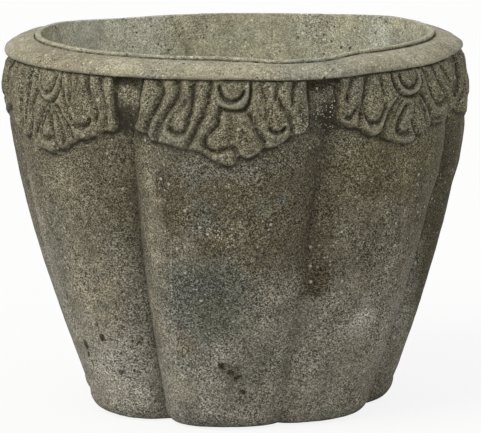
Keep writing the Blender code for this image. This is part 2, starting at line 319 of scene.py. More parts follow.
def rise(value, low, high):
    """A smooth rise from 0 at the low value to 1 at the high one."""
    return smooth_step(shares(value, low, high))


def quarter(steps):
    """A quarter turn in steps: for each, the share of the turn, its sine and its cosine."""
    turns = [math.pi / 2 * step / steps for step in range(steps + 1)]
    return [(step / steps, math.sin(turn), math.cos(turn)) for step, turn in enumerate(turns)]


def point_array(mesh):
    points = np.empty(len(mesh.vertices) * 3)
    mesh.vertices.foreach_get("co", points)
    return points.reshape(-1, 3)


def add_attribute(mesh, name, values):
    mesh.attributes.new(name, "FLOAT", "POINT").data.foreach_set("value", values)


def add_object(name, data):
    obj = bpy.data.objects.new(name, data)
    bpy.context.scene.collection.objects.link(obj)
    return obj


def bell_radius(pot, height):
    """Radius of the crowns at a height, before they draw in under the ring."""
    widest = pot.body_height - pot.widest_drop
    radius = pot.rim_radius + pot.crown_proud
    left = np.maximum(1 - height / widest, 0.0)
    return radius - (radius - pot.foot_radius) * left**pot.swell_power


def crown_radius(pot, height):
    """Radius of the crowns at a height, drawn in under the ring."""
    above = np.maximum((height - pot.body_height) / pot.widest_drop + 1, 0.0)
    return bell_radius(pot, height) - pot.crown_tuck * above**2


def valley_depth(pot, height):
    """Depth of the valleys: a smooth curve through the depths at foot, middle and rim."""
    up = height / pot.body_height
    foot = pot.valley_foot * (1 - up) * (1 - 2 * up)
    return foot + 4 * pot.valley_middle * up * (1 - up) + pot.valley_rim * up * (2 * up - 1)


def stopped_depth(pot, height):
    """Depth of the valleys with the stop that closes them under the ring."""
    closing = (height - pot.body_height + pot.stop_drop + pot.stop_height) / pot.stop_height
    return valley_depth(pot, height) * (1 - (1 - pot.stop_share) * smooth_step(closing))


def cavity_radius(pot, height):
    """Radius of the round hollow in the stone."""
    wall = pot.wall_foot + (pot.wall_rim - pot.wall_foot) * height / pot.body_height
    return bell_radius(pot, height) - valley_depth(pot, height) - wall


# ---- Pieces turned round the pot's axis

# Faces up the wall of the hollow, where the pot and the lining meet, and up the lining's face
HOLLOW_ROWS, LINING_ROWS = 10, 60
# Steps of the quarter turns at the foot and at the ring's edge, of the lip and of the floor
EDGE_STEPS, LIP_STEPS, FLOOR_STEPS = 14, 3, 4
# Faces across the flat of the ring, and how far its underside stays level
FLAT_STEPS, LEVEL_WIDTH = 6, 12 * MM
# Edges of the turned pieces that are sharper than this stay crisp
CRISP = math.radians(50)
# Points of a turned piece that are closer than this are one, and none lies under the ground
WELD = 0.02 * MM
ABOVE_GROUND = (-9.0, -9.0, 0.0)

# The valley by lobe 2 is shallow: the lobes from its middle, and the share of the pot's
# height under the ring, between which that fades in
SHALLOW_ACROSS, SHALLOW_DROP = (0.45, 0.15), (0.38, 0.6)

# Painted shade and dirt on the pot: how much, and the millimetres under the ring between
# which it fades in. The ring's painted shadow lies under the ring, dirt with painted shade
# all down the valleys, and painted shade in a notch under the stops, which ends
RING_SHADOW, RING_SHADOW_DROP = 1.1, (9, 0)
VALLEY_DIRT_AND_SHADE, VALLEY_DIRT_AND_SHADE_DROP = 0.23, (30, 50)
NOTCH_SHADE, NOTCH_DROP, NOTCH_END_DROP = 1.2, (30, 44), (76, 58)
# At a valley's bottom a darker line paints the crease's shade with dirt: how much, and how narrow
# it is
LINE_DIRT_AND_SHADE, LINE_SHARPNESS = 1.6, 8
# Dirt on faces in a bed, round the drain hole, at the foot, on the ring's edge, in the lip's
# joint, on the lining's wall and on its floor
BED_SOIL, DRAIN_SOIL, FOOT_SOIL, EDGE_SOIL, JOINT_SOIL = 0.5, 0.6, 0.25, 0.2, 1.0
WALL_SOIL, FLOOR_SOIL = 0.45, 0.55

# Seeds of the unevenness of the turned pieces
SEEDS = {"body": 3.0, "rim_band": 7.0, "inner_lining": 11.0}
# Its bumps: height as a share of a piece's waviness, and width
BUMPS = ((2.0, 0.090), (1.0, 0.030), (0.8, 0.012))

# The inputs of both trees that give the lobes and how uneven they are, and the pot's sizes
POT_INPUTS = {
    "Lobes": "lobes",
    "Lean": "lean",
    "Pot height": "body_height",
    "Sharpness": "sharpness",
    "Shallow valley": "shallow_share",
    "Unevenness": "unevenness",
}

# How the pot is uneven: the middle of each place in degrees round it, and the degrees from
# there where it is full and where it ends; the millimetres over the ring's bed where it
# starts, is full, is full for the last time and ends; how far it moves outwards and upwards
UNEVEN = (
    (-172, 16, 64, (-15, 23, 90, 100), 0.0, -7.5),
    (21, 4, 17, (-15, 23, 90, 100), 0.0, -3.4),
    (14, 4, 20, (-15, 23, 90, 100), 0.0, -2.2),
    (100, 22, 42, (-60, 0, 3, 19), 0.0, 4.5),
    (85, 10, 40, (-175, -135, -100, -60), 3.6, 0.0),
    (88, 12, 40, (-72, -50, -14, -2), 3.1, 0.0),
    (-88, 12, 34, (-66, -44, -14, -2), 3.8, 0.0),
    (82, 20, 45, (2, 8, 16, 19.5), -4.6, 0.0),
    (-88, 15, 45, (-6, 2, 7, 15), 2.4, 0.0),
)


def lobed_place(graph, lobe, height, radius, dip, sizes):
    """Where a point lies that is so many lobes round the pot, and its share of the dip."""
    across = (lobe - lobe.maths("ROUND")) * 2
    dipped = across.maths("ABSOLUTE") ** sizes["Sharpness"]
    drop = (1 - height / sizes["Pot height"]).maths("MAXIMUM", 0.0)
    shallow = graph.ramp((lobe - 0.5).maths("ABSOLUTE"), *SHALLOW_ACROSS)
    shallow = shallow * graph.ramp(drop, *SHALLOW_DROP)
    dipped = dipped * (1 - shallow * sizes["Shallow valley"])
    turned = lobe * math.tau / sizes["Lobes"] - drop * sizes["Lean"]
    reach = radius - dip * dipped
    x = reach * turned.maths("SINE")
    y = reach * turned.maths("COSINE") * -1
    return graph.wire("ShaderNodeCombineXYZ", None, {0: x, 1: y, 2: height}), dipped


def uneven(graph, place, sizes):
    """A place moved as the real pot's shape is uneven."""
    over = graph.axis(place, 2) - sizes["Pot height"]
    flat = graph.vector("NORMALIZE", graph.vector("MULTIPLY", place, (1.0, 1.0, 0.0)))
    moved = place
    for degrees, near, far, (start, full, last, end), outwards, upwards in UNEVEN:
        turn = math.radians(degrees)
        towards = (math.sin(turn), -math.cos(turn), 0.0)
        along = graph.vector("DOT_PRODUCT", flat, towards)
        weight = graph.ramp(along, math.cos(math.radians(far)), math.cos(math.radians(near)))
        weight = weight * graph.ramp(over, start * MM, full * MM)
        weight = weight * graph.ramp(over, end * MM, last * MM) * sizes["Unevenness"]
        step = graph.vector("MULTIPLY_ADD", flat, (outwards * MM,) * 3, (0, 0, upwards * MM))
        moved = graph.vector("ADD", moved, graph.vector("SCALE", step, Scale=weight))
    return moved


def roughened(graph, place, waviness, seed):
    """An offset that leaves a surface uneven, as stone cast and worn by hand is."""
    total = None
    for amplitude, width in BUMPS:
        bumpy = graph.wire(
            "ShaderNodeTexNoise",
            {"noise_dimensions": "4D"},
            {"Vector": place, "W": seed, "Scale": 1 / width, "Detail": 2.0, "Roughness": 0.5},
            1,
        )
        centred = graph.vector("SUBTRACT", bumpy, (0.5, 0.5, 0.5))
        offset = graph.vector("SCALE", centred, Scale=waviness * amplitude)
        total = offset if total is None else graph.vector("ADD", total, offset)
    return total


def turned_tree():
    """Turns a closed section round the axis, lobed where the section says so."""
    graph = PieceGraph("turned_stone")
    section = graph.entry("Geometry", "NodeSocketGeometry")
    columns = graph.entry("Columns", "NodeSocketInt")
    sizes = {name: graph.entry(name) for name in POT_INPUTS}
    waviness = graph.entry("Waviness")
    seed = graph.entry("Seed")
    stone = graph.entry("Stone", "NodeSocketMaterial")
    rows = graph.wire("GeometryNodeAttributeDomainSize", {"component": "MESH"}, {0: section})
    counts = {"Vertices X": columns + 1, "Vertices Y": rows + 1}
    grid = graph.wire("GeometryNodeMeshGrid", None, counts)
    index = graph.wire("GeometryNodeInputIndex")
    column = ((index + 0.5) / (rows + 1)).maths("FLOOR")
    row = (index - column * (rows + 1)).maths("MODULO", rows)

    def sampled(value, kind="FLOAT"):
        """A value of the section's point in this row."""
        sockets = {"Geometry": section, "Value": value, "Index": row}
        return graph.wire("GeometryNodeSampleIndex", {"data_type": kind}, sockets)

    point = sampled(graph.wire("GeometryNodeInputPosition"), "FLOAT_VECTOR")
    lobe = column / columns * sizes["Lobes"]
    dip = sampled(graph.named("dip"))
    radius, height = graph.axis(point, 0), graph.axis(point, 2)
    place, dipped = lobed_place(graph, lobe, height, radius, dip, sizes)
    place = uneven(graph, place, sizes)
    # Dirt and painted shade down the valleys, darker at their bottoms, join the section's own
    in_valley = dipped + dipped**LINE_SHARPNESS * LINE_DIRT_AND_SHADE
    in_valley = sampled(graph.named("valley_soil")) * in_valley
    shaded_and_soiled = graph.clamped(sampled(graph.named("soil")) + in_valley)
    moved = graph.vector("ADD", place, roughened(graph, place, waviness, seed))
    moved = graph.vector("MAXIMUM", moved, ABOVE_GROUND)
    laid = graph.wire("GeometryNodeSetPosition", None, {0: grid, "Position": moved})
    store = {"data_type": "FLOAT", "domain": "POINT"}
    sockets = {0: laid, "Name": "hollow", "Value": shaded_and_soiled}
    kept = graph.wire("GeometryNodeStoreNamedAttribute", store, sockets)
    joined = graph.wire("GeometryNodeMergeByDistance", None, {0: kept, "Distance": WELD})
    return graph.finish(joined, stone)


def section_mesh(name, stations):
    """A section as points: radius, height, depth of the valleys, dirt and painted shade, and dirt
    and painted shade in the valleys.
    """
    full = [(*station, 0.0) if len(station) == 4 else station for station in stations]
    mesh = bpy.data.meshes.new(name)
    mesh.from_pydata([(station[0], 0.0, station[1]) for station in full], [], [])
    for attribute, column in (("dip", 2), ("soil", 3), ("valley_soil", 4)):
        add_attribute(mesh, attribute, [float(station[column]) for station in full])
    return mesh


def grown(name, tree, mesh, values):
    """The object that a tree makes of a mesh, with values for its named inputs."""
    obj = add_object(name, mesh)
    modifier = obj.modifiers.new("grow", "NODES")
    modifier.node_group = tree
    for item in tree.interface.items_tree:
        if item.in_out == "INPUT" and item.name in values:
            modifier[item.identifier] = values[item.name]
    current = bpy.context.evaluated_depsgraph_get()
    result = bpy.data.meshes.new_from_object(obj.evaluated_get(current))
    obj.modifiers.clear()
    obj.data = result
    result.name = name
    if not result.polygons:
        raise RuntimeError("the tree made nothing of %s" % name)
    if enclosed_volume(result) < 0:
        result.flip_normals()
    return obj


def enclosed_volume(mesh):
    """Volume inside a closed mesh, below zero where its faces point inwards."""
    mesh.calc_loop_triangles()
    corners = np.empty(len(mesh.loop_triangles) * 3, dtype=np.int32)
    mesh.loop_triangles.foreach_get("vertices", corners)
    a, b, c = point_array(mesh)[corners.reshape(-1, 3)].transpose(1, 0, 2)
    return float(np.einsum("ij,ij->", a, np.cross(b, c))) / 6


def pot_values(pot):
    """The pot's values for the inputs that both trees have."""
    return {name: float(getattr(pot, size)) for name, size in POT_INPUTS.items()}


def settle(obj, node):
    """A piece rides on the part's one body and stands for a solid."""
    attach(obj, BODY)
    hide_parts(node)


def hollow_wall(pot, inset):
    """The wall of the hollow from its top down to its rounded floor, drawn in by an inset."""
    low = pot.floor + pot.floor_round
    stations = []
    for row in range(HOLLOW_ROWS + 1):
        height = pot.body_height + (low - pot.body_height) * row / HOLLOW_ROWS
        stations.append((cavity_radius(pot, height) - inset, height, 0.0, BED_SOIL))
    stations.append((stations[-1][0] - pot.floor_round, pot.floor + inset, 0.0, BED_SOIL))
    return stations


def body_stations(pot):
    """The pot's section, from its foot up the outside and down the inside."""
    stations = [(pot.drain_radius, 0.0, 0.0, DRAIN_SOIL)]
    corner = crown_radius(pot, pot.foot_round)
    for part, sine, cosine in quarter(EDGE_STEPS)[:-1]:
        height = pot.foot_round * (1 - cosine)
        radius = corner - pot.foot_round * (1 - sine)
        stations.append((radius, height, valley_depth(pot, height), FOOT_SOIL * (1 - part)))
    for row in range(pot.rows + 1):
        height = pot.foot_round + (pot.body_height - pot.foot_round) * (row / pot.rows)
        drop = (pot.body_height - height) / MM
        # The ring's painted shadow, painted shade in the notches, and dirt with painted shade down
        # the valleys
        under = RING_SHADOW * rise(drop, *RING_SHADOW_DROP)
        notch = NOTCH_SHADE * rise(drop, *NOTCH_DROP) * rise(drop, *NOTCH_END_DROP)
        valley = VALLEY_DIRT_AND_SHADE * rise(drop, *VALLEY_DIRT_AND_SHADE_DROP) + notch
        dip = stopped_depth(pot, height)
        stations.append((crown_radius(pot, height), height, dip, under, valley))
    stations += hollow_wall(pot, 0.0)
    stations.append((pot.drain_radius, pot.floor, 0.0, DRAIN_SOIL))
    return stations


def ring_stations(pot, ring):
    """The coping ring's section, from its underside round its edge to the joint."""
    bottom = pot.body_height + BED_GAP
    top = pot.total_height - ring.lip_rise
    inner = cavity_radius(pot, pot.body_height) + BED_GAP
    edge_top = bottom + ring.edge_height
    outer = pot.rim_radius
    stations = [
        (inner, bottom, 0.0, 0.6),
        (outer - LEVEL_WIDTH, bottom, 0.0, 0.6),
        (outer - ring.undercut * 2, bottom, 0.0, 0.8),
        (outer - ring.undercut * 0.4, bottom + 1.2 * MM, 0.0, 0.5),
    ]
    for part, sine, cosine in quarter(EDGE_STEPS):
        radius = outer - ring.round_width * (1 - cosine)
        height = edge_top + (top - edge_top) * sine
        stations.append((radius, height, 0.0, EDGE_SOIL * (1 - part) ** 4))
    start, end = outer - ring.round_width, inner + ring.chamfer
    for step in range(1, FLAT_STEPS):
        stations.append((start + (end - start) * step / FLAT_STEPS, top, 0.0, 0.0))
    stations.append((end, top, 0.0, 0.7))
    stations.append((inner, top - ring.chamfer, 0.0, JOINT_SOIL))
    return stations


def lining_stations(pot, ring):
    """The lining's section: up its outside, over its lip, down its inside and its floor."""
    outer = cavity_radius(pot, pot.body_height) - BED_GAP
    inner = outer - ring.lining_wall
    foot = pot.floor + BED_GAP
    stations = [(pot.drain_radius, foot, 0.0, BED_SOIL), *reversed(hollow_wall(pot, BED_GAP))]
    joint = pot.total_height - ring.lip_rise
    for over, soil in ((-1.0, JOINT_SOIL), (1.4, JOINT_SOIL), (2.0, 0.25)):
        stations.append((outer, joint + over * MM, 0.0, soil))
    lip, lip_foot = ring.lip_round, pot.total_height - ring.lip_round
    for _, sine, cosine in quarter(LIP_STEPS):
        stations.append((outer - lip * (1 - cosine), lip_foot + lip * sine, 0.0, 0.0))
    for _, sine, cosine in quarter(LIP_STEPS):
        stations.append((inner + lip * (1 - sine), lip_foot + lip * cosine, 0.0, 0.0))
    corner = max(pot.floor_round - ring.lining_wall, lip)
    floor = foot + ring.lining_floor
    low = floor + corner
    for row in range(1, LINING_ROWS + 1):
        height = pot.body_height + (low - pot.body_height) * row / LINING_ROWS
        radius = cavity_radius(pot, height) - BED_GAP - ring.lining_wall
        stations.append((radius, height, 0.0, WALL_SOIL * (row / LINING_ROWS) ** 1.5))
    for _, sine, cosine in quarter(FLOOR_STEPS)[1:]:
        stations.append((radius - corner * (1 - cosine), low - corner * sine, 0.0, BED_SOIL))
    for part in (0.6, 0.3):
        reach = (radius - corner - pot.drain_radius) * part
        stations.append((pot.drain_radius + reach, floor, 0.0, FLOOR_SOIL))
    stations.append((pot.drain_radius, floor, 0.0, 0.7))
    return stations


# ---- Carved leaves

# The leaves are drawn in millimetres: across from the lobe's crown, and down from the ring.
# A drawing has an outline, then the lines cut into it, then the edges that stand out from
# it. A line has its depth as a share of the relief, the width of the slope beside it, and
# its points with half its width. An edge has its rise, and its points with half its width.
FRONT = ((
    (-111, -14), (-111, 22), (-110, 34), (-114, 47), (-121, 58), (-119, 64), (-109, 66),
    (-100, 67), (-95, 73), (-87, 75.5), (-76, 76), (-62, 79), (-52, 81.5), (-44, 81),
    (-36, 82.5), (-28, 84), (-20, 91), (-10, 96), (0, 100), (8, 101), (13, 97), (14.5, 89),
    (18, 89), (24, 92), (32, 90.5), (39, 86), (43, 80.5), (50, 80.5), (58, 78.5), (68, 74),
    (75, 67), (84, 67), (93, 64), (98, 56), (97, 40), (94, 20), (93, -14),
), (
    (0.95, 4.5, ((-90, -3, 5), (-87, 4, 3), (-82, 12, 1.4), (-80.5, 18, 1.2), (-84, 29, 1.4),
        (-91, 41, 1.8), (-97, 53, 1.4), (-101, 66, 1))),
    (0.95, 4.5, ((-66, -3, 5), (-63, 5, 3), (-60.5, 13, 1.2), (-61, 20, 1.2), (-66, 29, 1.6),
        (-72, 39, 1.9), (-78, 48, 1.9), (-83, 57, 1.8), (-85.5, 67, 2), (-87, 78, 3))),
    (0.90, 4.0, ((-42, -3, 4), (-44, 8, 1.6), (-43.5, 19, 1.2), (-44, 30, 0.8), (-45, 42, 0.9),
        (-47, 52, 1.5), (-51, 60.5, 1.7), (-57, 63, 1.7), (-63, 62, 1.7), (-68, 57.5, 2.8))),
    (0.60, 4.0, ((-50, 24, 0.4), (-56, 32, 0.7), (-63, 41, 0.9), (-68, 50, 1.0), (-69, 56, 1.2))),
    (0.95, 4.5, ((-24, -3, 4), (-23, 5, 2), (-23, 14, 1.4), (-24, 25, 1.6), (-27, 37, 1.9),
        (-33, 49, 2.1), (-37, 57, 1.9), (-40, 67, 1.9), (-45, 76, 1.9), (-48, 85, 3))),
    (0.95, 4.0, ((-9, 36, 1.2), (-11, 42, 1.3), (-12, 51, 1.6), (-19, 59, 1.7), (-24.5, 65, 1.7),
        (-26, 72, 1.5), (-24, 78, 1.2), (-16, 82, 1.2), (-8, 82, 1.2), (0, 79, 1.8),
        (5, 77, 3.4), (10, 78, 2.8), (13, 84, 1.8), (15, 92, 3))),
    (0.90, 2.2, ((-10, 32, 1.0), (-3, 34, 1.8), (4, 35.5, 1.2), (11, 35.5, 1.2), (18, 34, 2.0),
        (22, 28, 0.6), (24.5, 18, 0.3), (24.5, 8, 0.2), (24, -3, 1.2))),
    (0.45, 5.0, ((4, 42, 0.8), (5, 58, 0.8), (4, 72, 1))),
    (0.55, 5.0, ((39, -3, 3), (38, 4, 1), (42, 20, 0.9), (43, 44, 0.6))),
    (0.80, 4.0, ((58, -3, 5), (58, 5, 2.5), (56, 12, 0.7), (55, 22, 0.4))),
    (0.85, 4.0, ((77, -3, 6), (77, 7, 3.5), (75, 13, 1), (76, 30, 0.5))),
    (0.80, 3.5, ((57, 18, 0.4), (62, 29, 1), (67, 37, 1.1), (72.5, 45, 3), (74, 52, 1.5),
        (76, 60, 1.6), (77, 70, 2.4))),
    (0.45, 4.0, ((83, 28, 0.8), (87, 40, 1.2), (90, 50, 0.8))),
    (0.85, 4.0, ((24, 40, 0.6), (30, 49, 0.9), (34, 58, 1.4), (39, 65, 1.4), (43, 71, 1.9),
        (44, 79, 2.1), (43, 88, 3))),
    (0.85, 2.6, ((48, 56, 0.8), (51, 60, 1.5), (57, 61.5, 1.7), (63, 61, 1.5), (67, 56, 0.8))),
    (0.40, 4.0, ((47, 30, 0.4), (47, 45, 0.6), (48, 56, 0.8))),
    (0.75, 2.2, ((-13, 8, 1.1), (-10, 16, 0.9), (-5, 22.5, 1.6), (2, 25.3, 2), (8, 24.3, 1.7),
        (13, 20, 1), (16, 13, 0.4))),
), (
    (2.6, ((-13, 15, 2.5), (-10, 24, 3.4), (-3, 30, 4), (4, 31, 4.2), (12, 28.5, 4),
        (18, 22, 3.8), (21, 14, 3.4), (21, 3, 2.5))),
    (2.2, ((-2, 9, 10), (2, 11, 12), (6, 10, 10))),
    (1.4, ((-74, 60, 3), (-66, 68, 4), (-56, 69, 4), (-48, 64, 3.5), (-44, 54, 3))),
    (1.6, ((47, 61, 2.5), (54, 66, 3.2), (62, 66, 3.2), (69, 60, 2.5))),
    (1.2, ((-22, 82, 2), (-14, 86.5, 2.6), (-4, 87, 2.6))),
    (1.6, ((4, 84, 5.5), (7, 91, 6))),
    (1.3, ((-3, 46, 3), (-6, 58, 7), (-12, 68, 9))),
    (1.3, ((16, 46, 4), (22, 60, 9), (27, 74, 11))),
    (0.9, ((-52, 38, 3), (-58, 48, 5), (-59, 54, 4))),
))
# The leaf on its right, whose boss and scroll sit farther to the left
RIGHT = ((
    (-117, -14), (-117, 18), (-119, 32), (-120, 43), (-118, 51), (-112, 57), (-104, 60),
    (-99, 63), (-92, 62.5), (-85, 65), (-80, 70), (-72, 74), (-64, 74), (-59, 70), (-55, 70),
    (-56, 76), (-50, 79), (-40, 82), (-32, 85), (-23, 87), (-17, 89), (-8, 86), (-4, 79),
    (5, 79), (12, 75), (20, 72), (26, 68), (40, 70), (60, 70), (70, 68), (78, 60), (84, 50),
    (84, 36), (81, 20), (79, -14),
), (
    (0.85, 4.0, ((-99, -3, 4), (-100, 4, 2.2), (-102, 12, 1.4), (-105, 19, 1.1), (-107, 27, 0.6))),
    (0.95, 4.5, ((-79, -3, 4.5), (-80, 4, 2.6), (-82, 14, 1.4), (-86, 30, 1.6), (-88, 46, 1.9),
        (-86, 57, 1.6), (-90, 65, 2.2))),
    (0.80, 3.0, ((-106, 49, 1), (-101, 48.5, 1.6), (-97, 43, 1.4), (-94, 37, 0.7))),
    (0.60, 3.5, ((-61, -3, 4), (-60, 7, 1.6), (-58, 17, 1.1), (-56, 27, 0.5))),
    (0.85, 2.8, ((-83, 38, 0.7), (-82.5, 46, 1.1), (-79, 53.5, 1.4), (-73.5, 58, 1.7),
        (-67, 58, 1.8), (-60.5, 52.5, 1.6), (-56.5, 45, 1), (-55.5, 38, 0.6))),
    (0.95, 4.0, ((-34, 31, 0.8), (-41, 38, 1.2), (-47, 46, 1.6), (-51, 54, 1.7), (-54, 61, 1.8),
        (-56, 69, 2), (-57, 79, 3))),
    (0.60, 3.5, ((-31, 35, 0.6), (-38, 45, 1.1), (-44, 54, 1.1), (-47, 63, 0.9))),
    (0.90, 3.5, ((-23, 42, 0.9), (-29, 48, 1.4), (-34, 55, 1.6), (-36.5, 62, 1.6), (-36.5, 69, 1.4),
        (-32, 73.5, 1.3), (-26, 74.5, 1.2), (-19, 74, 1.1))),
    (0.95, 3.5, ((-13, 61, 0.8), (-11, 67, 1.3), (-7, 72.5, 1.9), (-3, 77, 2.8), (-3, 85, 3))),
    (0.85, 2.2, ((-42, -3, 2.6), (-42, 7, 1.2), (-40, 15, 1.3), (-36, 22, 1.5), (-32, 27.5, 1.6),
        (-26, 30.5, 1.1), (-18, 32, 0.9), (-9, 31.5, 0.9), (-1, 29, 1.3), (4, 23, 0.7),
        (7, 14, 0.5), (7, 5, 0.4), (6, -3, 1.6))),
    (0.60, 2.0, ((-31, 5, 0.4), (-30, 12, 0.6), (-27, 17, 0.8), (-22, 20.5, 1.1), (-17, 22, 1.3),
        (-12, 21.3, 1.2), (-6, 18, 0.9), (-2, 12, 0.7), (-1, 4, 0.4))),
    (0.95, 3.8, ((2, 29, 0.9), (7, 33, 1.1), (11, 38, 1.5), (15, 44, 1.7), (19, 51, 1.8),
        (22, 58, 1.8), (25, 65, 2.1), (26, 76, 3))),
    (0.60, 3.5, ((1, 40, 0.6), (5, 48, 0.9), (10, 57, 1.1), (14, 65, 1.1), (16, 70, 0.8))),
    (0.75, 3.2, ((13, -3, 2.8), (15, 5, 1), (18, 18, 0.9), (25, 33, 1.1), (31, 43, 1.5),
        (36, 46.8, 1.7), (42, 47.8, 1.8), (48, 46, 1.6), (54, 41, 0.9))),
    (0.90, 3.8, ((36, -3, 4), (37, 4, 2), (40, 17, 0.9), (47, 26, 1.1), (52, 32, 1.2),
        (58, 37, 1.3), (63, 43, 1.5), (66, 51, 1.6), (68, 61, 1.8), (70, 72, 2.6))),
    (0.80, 3.8, ((54, -3, 4), (57, 4, 1.8), (65, 16, 1), (72, 23, 1), (78, 31, 1.1),
        (80, 38, 0.8))),
    (0.60, 3.0, ((27, 60, 0.6), (34, 63, 1), (42, 63, 1))),
), (
    (2.6, ((-35, 10, 2.2), (-32, 18, 3), (-27, 23.5, 3.7), (-20, 27, 4), (-12, 27.5, 4.1),
        (-5, 25, 3.8), (1, 19, 3.4), (4, 11, 3), (4, 2, 2.4))),
    (2.2, ((-22, 7, 9), (-18, 9, 10.5), (-13, 8, 9))),
    (1.5, ((-77, 65, 2.2), (-70, 65.5, 3.2), (-63, 61.5, 3.4), (-57, 54, 2.8), (-54, 46, 1.8))),
    (1.5, ((29, 49.5, 2), (37, 53, 3), (46, 52.5, 3.2), (55, 47.5, 2.4))),
    (1.2, ((3, 25, 1.4), (7, 39, 1.6), (13, 49, 1.8))),
    (1.2, ((-33, 64, 1.6), (-31, 68, 2.4), (-26, 70, 2.2))),
    (1.2, ((-40, 80, 2), (-32, 80.5, 2.4), (-24, 82, 2.4))),
    (1.4, ((-19, 80, 5.5), (-15, 83, 5.5))),
    (1.3, ((-17, 42, 4), (-20, 53, 7.5), (-23, 62, 8))),
    (1.2, ((32, 56, 4), (40, 59, 6), (50, 60, 6.5))),
    (0.9, ((-68, 36, 4), (-71, 46, 5.5), (-71, 52, 4.5))),
))
# The leaf on its left
LEFT = ((
    (-111, -14), (-111, 22), (-110, 34), (-114, 47), (-119, 57), (-117, 63), (-108, 66),
    (-100, 68), (-94, 73), (-84, 75.5), (-72, 76), (-60, 79), (-50, 84), (-40, 85.5),
    (-31, 84), (-26, 83), (-16, 90), (-5, 96), (7, 97.5), (13, 99), (18, 99.5), (25, 97.5),
    (31, 93), (38, 93), (45, 89.5), (51, 84.5), (58, 80), (63, 78), (70, 78), (78, 75),
    (85, 72), (93, 66), (103, 67), (109, 65), (111, 59), (111, 50), (109, 38), (106, 22),
    (104, -14),
), (
    (0.95, 4.5, ((-91, -3, 5), (-88, 6, 2.6), (-84, 18, 1.3), (-86, 32, 1.5), (-90, 46, 1.7),
        (-94, 58, 1.6), (-97, 71, 2))),
    (0.95, 4.5, ((-66, -3, 4.5), (-61, 8, 2.2), (-54, 20, 1.5), (-50, 36, 1.6), (-47, 52, 1.8),
        (-46, 64, 1.9), (-49, 76, 2), (-52, 88, 3))),
    (0.85, 4.0, ((-41, -3, 3.6), (-38, 6, 1.6), (-34, 17, 1.1), (-33, 31, 1.1), (-33.5, 45, 1.3),
        (-34, 57, 1.3), (-36, 65, 0.9))),
    (0.95, 4.5, ((-16, 25, 1.2), (-18, 34, 1.6), (-20.5, 45, 2.1), (-20.5, 56, 2.2),
        (-21, 65, 2.1), (-24, 75, 2.1), (-28, 86, 3))),
    (0.85, 2.3, ((-22, -3, 2.6), (-21, 8, 1.2), (-17, 19, 1.3), (-10, 29, 1.4), (-1, 36, 1.4),
        (7, 38.6, 1.2), (14, 38.6, 1.3), (20, 35.5, 1.5), (24.5, 29, 0.9), (26, 18, 0.8),
        (25, 8, 0.5), (24, -3, 1.6))),
    (0.65, 2.1, ((-14, 7, 0.4), (-11, 17, 0.7), (-5, 24.5, 1.1), (2, 27.8, 1.4), (8, 26.8, 1.3),
        (14, 22.5, 1.1), (18, 15, 0.7), (18.5, 6, 0.4))),
    (0.75, 3.6, ((6, 42, 0.8), (1, 53, 1.3), (-3, 62, 1.5), (-7, 70, 1.4), (-10, 79, 1.1))),
    (0.85, 3.2, ((11, 47, 0.9), (6, 58, 1.2), (1.5, 67, 1.4), (0.5, 75, 1.4), (4, 81, 1.6),
        (10, 82, 2), (16, 80, 2.9), (22, 79, 2.8), (26, 81, 2.4), (28, 87, 1.8), (31, 96, 3))),
    (0.95, 3.8, ((12, 44, 1), (16, 51, 1.4), (19, 60, 1.7), (21, 68, 1.7), (24, 77, 2.2))),
    (0.85, 3.8, ((24, 50, 0.8), (30, 57, 1.2), (36, 64, 1.5), (39.5, 72, 1.8), (40, 80, 2),
        (39, 88, 2), (38, 97, 3))),
    (0.90, 3.6, ((27, 42, 0.7), (34, 50, 1.1), (42, 58, 1.3), (48, 65, 1.6), (52, 74, 1.9),
        (57, 84, 3))),
    (0.85, 3.0, ((30, 20, 0.5), (38, 34, 0.8), (45, 47, 1), (52, 56.5, 1.4), (60, 61.5, 1.6),
        (69, 62.5, 1.8), (75, 59.5, 1.6), (78, 53, 0.8))),
    (0.60, 4.0, ((37, -3, 3), (39, 4, 1), (43, 15, 0.9), (46, 29, 0.9), (46, 40, 0.6))),
    (0.45, 3.6, ((50, -3, 2.6), (51, 8, 0.9), (53, 22, 0.9), (54, 37, 0.6))),
    (0.80, 4.0, ((66, -3, 4.4), (67.5, 5, 2.2), (71, 16, 1), (78, 29, 1.1), (84, 37, 1.4),
        (87, 45, 1.4), (85, 53, 1))),
    (0.75, 4.0, ((87, -3, 4.5), (87, 8, 2.6), (90, 17, 1.1), (94, 27, 0.9), (97, 36, 0.6))),
    (0.60, 3.5, ((99, 48, 0.6), (98, 55, 1.1), (95, 61, 1.1))),
), (
    (2.6, ((-17, 14, 2.4), (-13, 22, 3.2), (-6, 30, 3.9), (4, 33.8, 4.1), (13, 31, 4),
        (19, 24.5, 3.8), (22.5, 15, 3.4), (23, 3, 2.5))),
    (2.2, ((-1, 9, 10), (3, 12, 12), (7, 10, 10))),
    (1.6, ((54, 65, 2.2), (62, 68.3, 3.2), (71, 67.8, 3.2), (80, 62.5, 2.4))),
    (1.4, ((-79, 60, 3), (-72, 67, 4), (-62, 69, 4), (-54, 64, 3.5))),
    (1.3, ((2, 86, 2), (10, 88.5, 2.6), (20, 87, 2.4))),
    (1.2, ((-28, 32, 1.4), (-28, 46, 2), (-28, 62, 1.8))),
    (1.5, ((11, 91, 5.5), (18, 92.5, 6))),
    (1.3, ((10, 56, 3.5), (9, 65, 6), (11, 73, 7.5))),
    (1.2, ((29, 70, 5.5), (31, 80, 7))),
    (0.9, ((62, 40, 4), (68, 50, 5.5), (69, 56, 4.5))),
))
# How far a leaf runs across and down, with room for its edges
LEAF_LEFT, LEAF_RIGHT, LEAF_DEEP = -146, 122, 108
# Places across a drawing
LEAF_PLACES = (-110, -62, -35, 1, 25, 57, 92)
# So far beside the first and the last of them a leaf still follows its drawing
BESIDE = 50
EVEN = (1.0,) * 7
